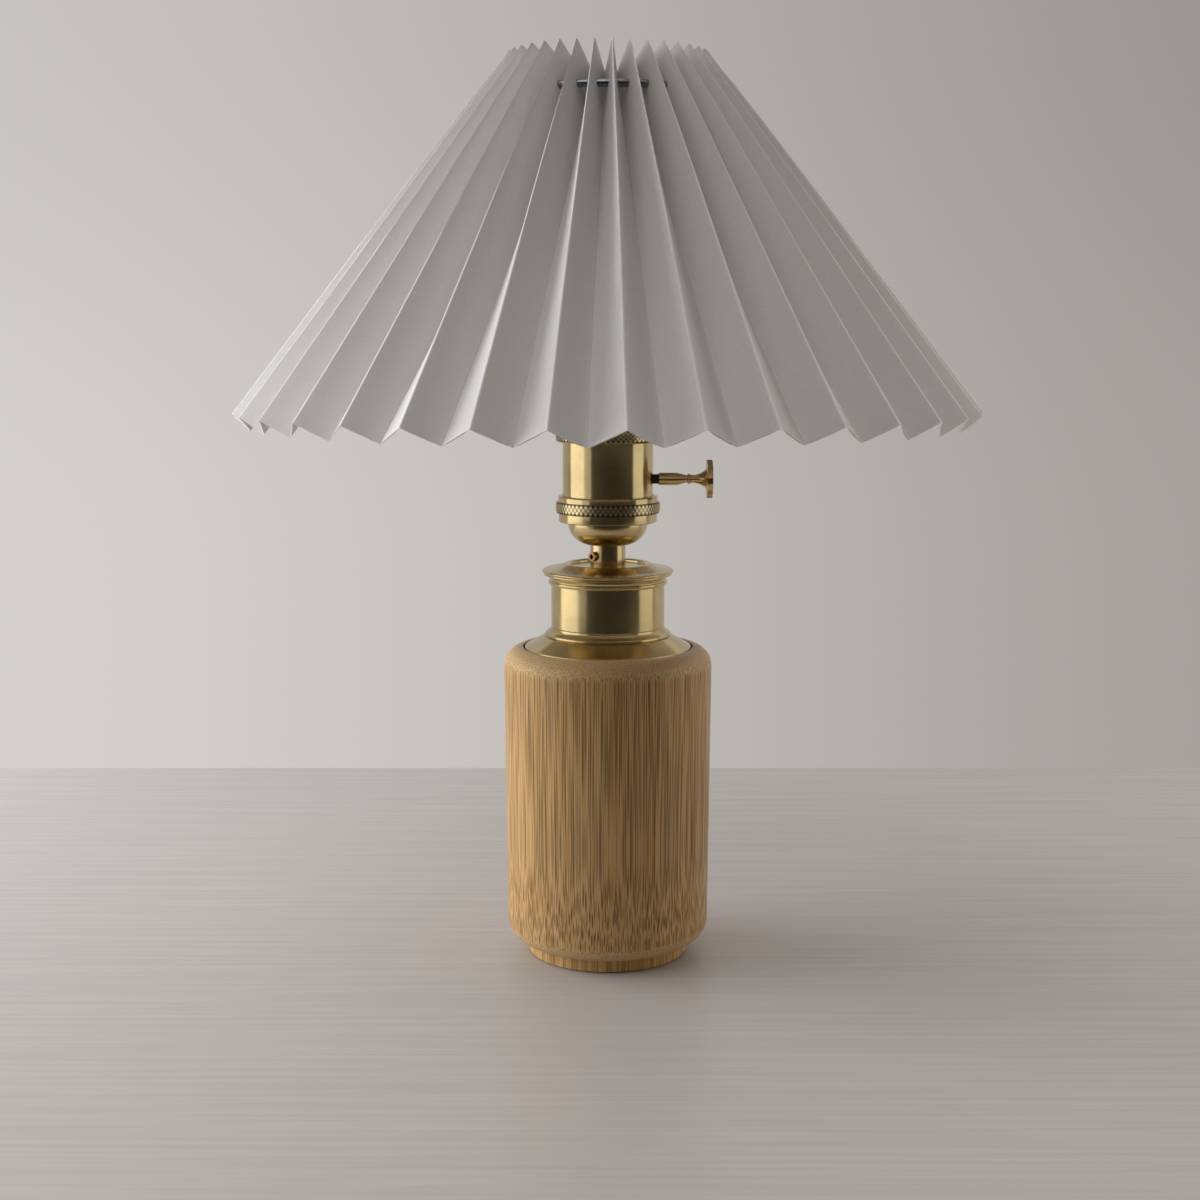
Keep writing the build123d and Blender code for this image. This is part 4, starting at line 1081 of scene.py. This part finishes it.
class LAMP_OT_dimmer_knob(Operator):
    """Turns the knob, with grooves round its disc, and finishes the dimmer behind it."""

    bl_idname = "lamp.dimmer_knob"
    bl_label = "Dimmer Knob"

    def execute(self, context):
        sizes = context.scene.lamp_knob
        low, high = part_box("dimmer_knob")
        start = low[0]
        end = high[0]
        disc_radius = (high[2] - low[2]) / 2
        axis_level = (high[2] + low[2]) / 2
        barrel_end = start + sizes.barrel_length
        waist = (sizes.waist_radius, barrel_end + sizes.taper_length)
        neck = (sizes.neck_radius, waist[1] + sizes.bead_width)
        flare = (sizes.flare_radius, neck[1] + sizes.flare_length)
        bead_rise = sizes.bead_radius - (sizes.waist_radius + sizes.neck_radius) / 2
        profile = [
            (sizes.bore, start),
            (sizes.barrel_radius, start),
            (sizes.barrel_radius, barrel_end),
            waist,
            *bow(waist, neck, -bead_rise),
            *bow(neck, flare, sizes.flare_sag, 10),
            (disc_radius, flare[1]),
            (disc_radius, end),
            (0, end),
            (0, start + sizes.bore_depth),
            (sizes.bore, start + sizes.bore_depth),
        ]
        shape = turn_profile(profile, 2 * sizes.reeds)
        round_edges(shape, sizes.edge_round, 60)
        self.reed_disc(shape, disc_radius, sizes)
        shade_smooth(shape, 30)
        place = Matrix.Translation((0, 0, axis_level)) @ Matrix.Rotation(radians(90), 4, "Y")
        bmesh.ops.transform(shape, matrix=place, verts=shape.verts)
        even_shading(add_piece("turn_knob", shape, "dimmer_knob", "Knob brass"))
        dress("Black plastic", "dimmer_spindle", "dimmer_module")
        return {"FINISHED"}

    def reed_disc(self, shape, disc_radius, sizes):
        """Cuts a groove at every other step round the disc's edge."""
        for corner in shape.verts:
            radius = hypot(corner.co.x, corner.co.y)
            step = round(atan2(corner.co.y, corner.co.x) / (2 * pi) * 2 * sizes.reeds)
            if radius > disc_radius - sizes.edge_round and step % 2:
                corner.co.xy *= (radius - sizes.reed_depth) / radius


class LAMP_OT_pleated_shade(Operator):
    """Folds the sheet into pleats and threads it on the carrier's ring."""

    bl_idname = "lamp.pleated_shade"
    bl_label = "Pleated Shade"

    def execute(self, context):
        sizes = context.scene.lamp_shade
        low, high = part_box("pleated_shade")
        ring_low, ring_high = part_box("carrier_ring")
        ring_level = (ring_low[2] + ring_high[2]) / 2
        ring_radius = (ring_high[0] - ring_low[0] - ring_high[2] + ring_low[2]) / 2
        outer_top = Vector((sizes.outer_top_radius + sizes.tip_run, 0, high[2] + sizes.tip_rise))
        inner_top = Vector((sizes.inner_top_radius, 0, high[2] - sizes.top_notch))
        outer_low = Vector((sizes.outer_low_radius, 0, low[2] + sizes.low_notch))
        inner_low = Vector((sizes.inner_low_radius, 0, low[2]))
        folds = (outer_top, outer_low, inner_top, inner_low)
        half_turn = pi / sizes.pleats
        hole = self.find_hole(folds, half_turn, ring_radius, ring_level)
        shape = self.fold_pleat(sizes, folds, half_turn, hole)
        self.repeat_pleat(shape, sizes)
        self.settle(shape, sizes, hole[1])
        self.round_folds(shape, sizes)
        shade_smooth(shape, 70)
        self.crisp_hems(shape)
        self.thin_folds(shape)
        piece = add_piece("folded_sheet", shape, "pleated_shade", "Shade sheet")
        panels = piece.vertex_groups.new(name="Panels")
        wall = piece.modifiers.new("Sheet thickness", "SOLIDIFY")
        wall.thickness = sizes.thickness
        wall.offset = -1.0
        wall.vertex_group = panels.name
        wall.thickness_vertex_group = sizes.fold_share
        even_shading(piece)
        return {"FINISHED"}

    def panel_point(self, folds, half_turn, across, along):
        """A point of the pleat, across from -1 and 1 at the inner folds to 0 at the outer one."""
        outer = folds[0].lerp(folds[1], along)
        inner = folds[2].lerp(folds[3], along)
        side = half_turn if across > 0 else -half_turn
        return outer.lerp(Matrix.Rotation(side, 3, "Z") @ inner, abs(across))

    def find_hole(self, folds, half_turn, ring_radius, ring_level):
        """Where the ring goes through a panel, as shares across and along it."""
        across = 0.5
        along = 0.1
        for _ in range(40):
            point = self.panel_point(folds, half_turn, across, along)
            drop = self.panel_point(folds, half_turn, across, along + 0.01).z - point.z
            along += 0.01 * (ring_level - point.z) / drop
            point = self.panel_point(folds, half_turn, across, along)
            near = self.panel_point(folds, half_turn, across + 0.01, along)
            step = hypot(near.x, near.y) - hypot(point.x, point.y)
            across += 0.01 * (ring_radius - hypot(point.x, point.y)) / step
        return across, along

    def fold_pleat(self, sizes, folds, half_turn, hole):
        """One pleat of two panels, each with a hole for the ring."""
        half = [0.0, hole[0] / 2, hole[0], (hole[0] + 1) / 2, 1.0]
        across = [-share for share in reversed(half[1:])] + half
        along = [hole[1] * row / 2 for row in range(2)]
        along += [hole[1] + (1 - hole[1]) * row / sizes.rows for row in range(sizes.rows + 1)]
        shape = bmesh.new()
        fold = shape.verts.layers.float.new("fold")
        share = shape.verts.layers.float.new("share")
        columns = len(across) - 1
        rows = len(along) - 1
        bmesh.ops.create_grid(shape, x_segments=columns, y_segments=rows, size=0.5)
        holes = []
        for corner in shape.verts:
            column = round((corner.co.x + 0.5) * columns)
            row = round((corner.co.y + 0.5) * rows)
            corner.co = self.panel_point(folds, half_turn, across[column], along[row])
            corner[share] = along[row]
            # The fold mark also places the painted highlight on the outer folds and the painted shade in
            # the inner folds.
            corner[fold] = 1.0 if column == columns // 2 else (-1.0 if column in (0, columns) else 0.0)
            if abs(across[column]) == hole[0] and along[row] == hole[1]:
                holes.append(corner)
        bevel(shape, holes, sizes.hole_radius, segments=4, affect="VERTICES")
        round_faces = [face for face in shape.faces if len(face.verts) > 8]
        bmesh.ops.delete(shape, geom=round_faces, context="FACES")
        turn = Matrix.Rotation(sizes.turn - pi / 2, 3, "Z")
        bmesh.ops.rotate(shape, verts=shape.verts, cent=(0, 0, 0), matrix=turn)
        return shape

    def repeat_pleat(self, shape, sizes):
        """Repeats the pleat all the way round and joins the panels along their folds."""
        copies = sizes.pleats - 1
        bmesh.ops.spin(
            shape,
            geom=shape.verts[:] + shape.edges[:] + shape.faces[:],
            cent=(0, 0, 0),
            axis=(0, 0, 1),
            angle=2 * pi * copies / sizes.pleats,
            steps=copies,
            use_duplicate=True,
        )
        bmesh.ops.remove_doubles(shape, verts=shape.verts, dist=0.01 * MILLIMETRE)
        bmesh.ops.recalc_face_normals(shape, faces=shape.faces)
        outwards = sum(face.normal.dot(face.calc_center_median()) for face in shape.faces)
        if outwards < 0:
            bmesh.ops.reverse_faces(shape, faces=shape.faces)

    def settle(self, shape, sizes, held):
        """Lets the folds stand a little off their true places, more so further from the ring."""
        share = shape.verts.layers.float["share"]
        waves_round = 7.3
        waves_along = 1.2
        apart = Vector((31, 17, 5))
        for corner in shape.verts:
            radius = hypot(corner.co.x, corner.co.y)
            freedom = min(1.0, abs(corner[share] - held) * 1.6)
            spoke = Vector((corner.co.x / radius, corner.co.y / radius, 0))
            swirl = Vector((-spoke.y, spoke.x, 0))
            spot = Vector((spoke.x * waves_round, spoke.y * waves_round, corner[share] * waves_along))
            aside = noise.noise(spot) * sizes.unevenness
            inwards = (noise.noise(spot + apart) - 1) * sizes.unevenness / 2
            corner.co += (swirl * aside + spoke * inwards) * freedom

    def round_folds(self, shape, sizes):
        """Rounds the folds a little, as a sheet of this thickness bends."""
        fold = shape.verts.layers.float["fold"]
        for side, width in ((1.0, sizes.fold_round), (-1.0, sizes.crease_round)):
            lines = [edge for edge in shape.edges if all(corner[fold] == side for corner in edge.verts)]
            bevel(shape, lines, width, "WIDTH")

    def crisp_hems(self, shape):
        """Keeps the hems and the rims of the holes sharp."""
        for edge in shape.edges:
            if edge.is_boundary:
                edge.smooth = False

    def thin_folds(self, shape):
        """Weighs the panels 1 and the folds 0, as the sheet is pressed thin where it is folded."""
        fold = shape.verts.layers.float["fold"]
        weights = shape.verts.layers.deform.verify()
        for corner in shape.verts:
            corner[weights][0] = 1.0 - abs(corner[fold])


class LAMP_OT_shade_carrier(Operator):
    """Finishes the wire carrier of the shade."""

    bl_idname = "lamp.shade_carrier"
    bl_label = "Shade Carrier"

    def execute(self, context):
        dress("Wire steel", "carrier_ring", "carrier_legs", "carrier_washer")
        return {"FINISHED"}


class LAMP_OT_bulb(Operator):
    """Finishes the bulb."""

    bl_idname = "lamp.bulb"
    bl_label = "Bulb"

    def execute(self, context):
        dress("Opal", "bulb_globe")
        dress("White plastic", "bulb_collar")
        dress("Emitter white", "bulb_emitter")
        dress("Nickel", "bulb_cap", "bulb_contact")
        dress("Black plastic", "bulb_insulator")
        return {"FINISHED"}


class LAMP_OT_battery(Operator):
    """Finishes the battery, its cradle and its leads."""

    bl_idname = "lamp.battery"
    bl_label = "Battery"

    def execute(self, context):
        dress("Cell sleeve", "battery_cells")
        dress("Nickel", "cell_strip")
        dress("Black plastic", "cell_cradle_lower", "cell_cradle_upper")
        dress("Lead red", "battery_lead_positive", "supply_lead_positive")
        dress("Lead black", "battery_lead_negative", "supply_lead_negative")
        return {"FINISHED"}


class LAMP_OT_charge_port(Operator):
    """Finishes the charging port at the rear."""

    bl_idname = "lamp.charge_port"
    bl_label = "Charging Port"

    def execute(self, context):
        dress("Board green", "charge_board")
        dress("Nickel", "usb_socket")
        dress("Black plastic", "port_bezel")
        dress("Light pipe", "charge_light")
        return {"FINISHED"}


class LAMP_OT_stage(Operator):
    """Sets up the pale floor, the soft studio light and the camera."""

    bl_idname = "lamp.stage"
    bl_label = "Stage"

    def execute(self, context):
        sizes = context.scene.lamp_stage
        context.scene.view_settings.view_transform = "Standard"
        self.add_floor(context, sizes)
        self.add_dark_card(context, sizes)
        left = (0, radians(-90), 0)
        right = (0, radians(90), 0)
        # The first three panels show only in reflections, and the two fills light only matt surfaces.
        for name, turn in (("window", left), ("beside", left), ("right", right)):
            panel = self.add_panel(context, sizes, name)
            panel.rotation_euler = turn
            panel.visible_diffuse = False
        for name, turn in (("left_fill", left), ("right_fill", right)):
            panel = self.add_panel(context, sizes, name)
            panel.rotation_euler = turn
            panel.data.color = getattr(sizes, name + "_tint")
            panel.visible_glossy = False
        self.add_panel(context, sizes, "top")
        self.set_world(context)
        self.add_camera(context, sizes)
        return {"FINISHED"}

    def add_floor(self, context, sizes):
        """The floor, a table top that ends behind the lamp where the plain ground starts."""
        depth = sizes.floor_back + sizes.floor_front
        middle = (0, sizes.floor_back - depth / 2, 0)
        floor = self.add_board(context, "floor", (sizes.floor_width, depth), 0, middle, "Pale floor")

    def add_dark_card(self, context, sizes):
        """A dark card in front that shows only in reflections, as the unlit side of the room."""
        size = (sizes.card_width, sizes.card_height)
        middle = (sizes.card_side, -sizes.card_front, sizes.card_height / 2)
        card = self.add_board(context, "dark_card", size, radians(90), middle, "Black plastic")
        card.visible_camera = False
        card.visible_diffuse = False
        card.visible_shadow = False

    def add_board(self, context, name, size, tilt, middle, finish_name):
        """A flat board, which lies level until it is tilted."""
        shape = bmesh.new()
        bmesh.ops.create_grid(shape, x_segments=1, y_segments=1, size=0.5)
        bmesh.ops.scale(shape, verts=shape.verts, vec=(*size, 1))
        bmesh.ops.rotate(shape, verts=shape.verts, cent=(0, 0, 0), matrix=Matrix.Rotation(tilt, 3, "X"))
        bmesh.ops.translate(shape, verts=shape.verts, vec=middle)
        mesh = bpy.data.meshes.new(name)
        shape.to_mesh(mesh)
        shape.free()
        mesh.materials.append(finish(finish_name))
        board = bpy.data.objects.new(name, mesh)
        context.scene.collection.objects.link(board)
        return board

    def add_panel(self, context, sizes, name):
        """A large soft light, which faces down until it is turned."""
        light = bpy.data.lights.new(name, "AREA")
        light.shape = "RECTANGLE"
        light.size, light.size_y = getattr(sizes, name + "_size")
        light.energy = getattr(sizes, name + "_power")
        panel = bpy.data.objects.new(name, light)
        panel.location = getattr(sizes, name + "_place")
        panel.visible_camera = False
        context.scene.collection.objects.link(panel)
        return panel

    def set_world(self, context):
        """A ground for the camera with painted light, lighter at the left, darker at the right and towards
        the top, and a room that is dark at the front and pale behind.
        """
        tones = context.scene.lamp_colours
        world = bpy.data.worlds.new("Studio")
        world.use_nodes = True
        context.scene.world = world
        tree = world.node_tree
        heading = add_node(tree, "ShaderNodeTexCoord").outputs["Generated"]
        parts = add_node(tree, "ShaderNodeSeparateXYZ", {0: heading}).outputs
        behind = span(tree, parts[1], 0.0, 0.6, 0.02, 0.48)
        beside = span(tree, parts[0], 0.6, 1.0, 0.0, 0.12)
        above = span(tree, parts[2], 0.25, 0.9, 0.0, 0.38)
        room = math(tree, "ADD", math(tree, "ADD", behind, beside), above)
        room_tone = mix_colour(tree, room, (0.0, 0.0, 0.0, 1.0), (1.0, 0.965, 0.935, 1.0))
        seen = add_node(tree, "ShaderNodeLightPath").outputs["Is Camera Ray"]
        # Painted light on the ground: lighter at the left and darker at the right, then painted shade
        # towards the top.
        across = span(tree, parts[0], -0.42, 0.46)
        plain = mix_colour(tree, across, opaque(tones.wall_left), opaque(tones.wall_right))
        dim = span(tree, parts[2], -0.13, 0.2, 0.0, 0.14)
        wall = mix_colour(tree, dim, plain, (0.0, 0.0, 0.0, 1.0))
        tone = mix_colour(tree, seen, room_tone, wall)
        tree.links.new(tone, tree.nodes["Background"].inputs["Color"])

    def add_camera(self, context, sizes):
        """The camera at the photograph's angle."""
        lens = bpy.data.cameras.new("Camera")
        lens.lens = sizes.camera_lens
        lens.sensor_width = 36.0
        camera = bpy.data.objects.new("Camera", lens)
        camera.location = sizes.camera_place
        camera.rotation_euler = (pi / 2 - sizes.camera_pitch, 0, 0)
        context.scene.collection.objects.link(camera)
        context.scene.camera = camera


class LAMP_PT_sidebar(Panel):
    """Lists the lamp's operators in the sidebar."""

    bl_idname = "LAMP_PT_sidebar"
    bl_label = "Table Lamp"
    bl_space_type = "VIEW_3D"
    bl_region_type = "UI"
    bl_category = "Lamp"

    def draw(self, context):
        for operator in OPERATORS:
            self.layout.operator(operator.bl_idname)


SETTINGS = {
    "lamp_base": LampBaseSizes,
    "lamp_neck": LampNeckSizes,
    "lamp_holder": LampHolderSizes,
    "lamp_knob": LampKnobSizes,
    "lamp_shade": LampShadeSizes,
    "lamp_colours": LampColours,
    "lamp_stage": LampStageSizes,
}
OPERATORS = (
    LAMP_OT_bamboo_base,
    LAMP_OT_brass_neck,
    LAMP_OT_lampholder,
    LAMP_OT_dimmer_knob,
    LAMP_OT_pleated_shade,
    LAMP_OT_shade_carrier,
    LAMP_OT_bulb,
    LAMP_OT_battery,
    LAMP_OT_charge_port,
    LAMP_OT_stage,
)


def register():
    """Registers the settings, the operators and the panel."""
    for name, group in SETTINGS.items():
        bpy.utils.register_class(group)
        setattr(bpy.types.Scene, name, PointerProperty(type=group))
    for operator in OPERATORS:
        bpy.utils.register_class(operator)
    bpy.utils.register_class(LAMP_PT_sidebar)


def unregister():
    """Takes the panel, the operators and the settings out again."""
    bpy.utils.unregister_class(LAMP_PT_sidebar)
    for operator in reversed(OPERATORS):
        bpy.utils.unregister_class(operator)
    for name, group in reversed(SETTINGS.items()):
        delattr(bpy.types.Scene, name)
        bpy.utils.unregister_class(group)


def main():
    """Builds the lamp and its stage."""
    register()
    bpy.ops.lamp.bamboo_base()
    bpy.ops.lamp.brass_neck()
    bpy.ops.lamp.lampholder()
    bpy.ops.lamp.dimmer_knob()
    bpy.ops.lamp.pleated_shade()
    bpy.ops.lamp.shade_carrier()
    bpy.ops.lamp.bulb()
    bpy.ops.lamp.battery()
    bpy.ops.lamp.charge_port()
    bpy.ops.lamp.stage()


if __name__ == "__main__":
    main()
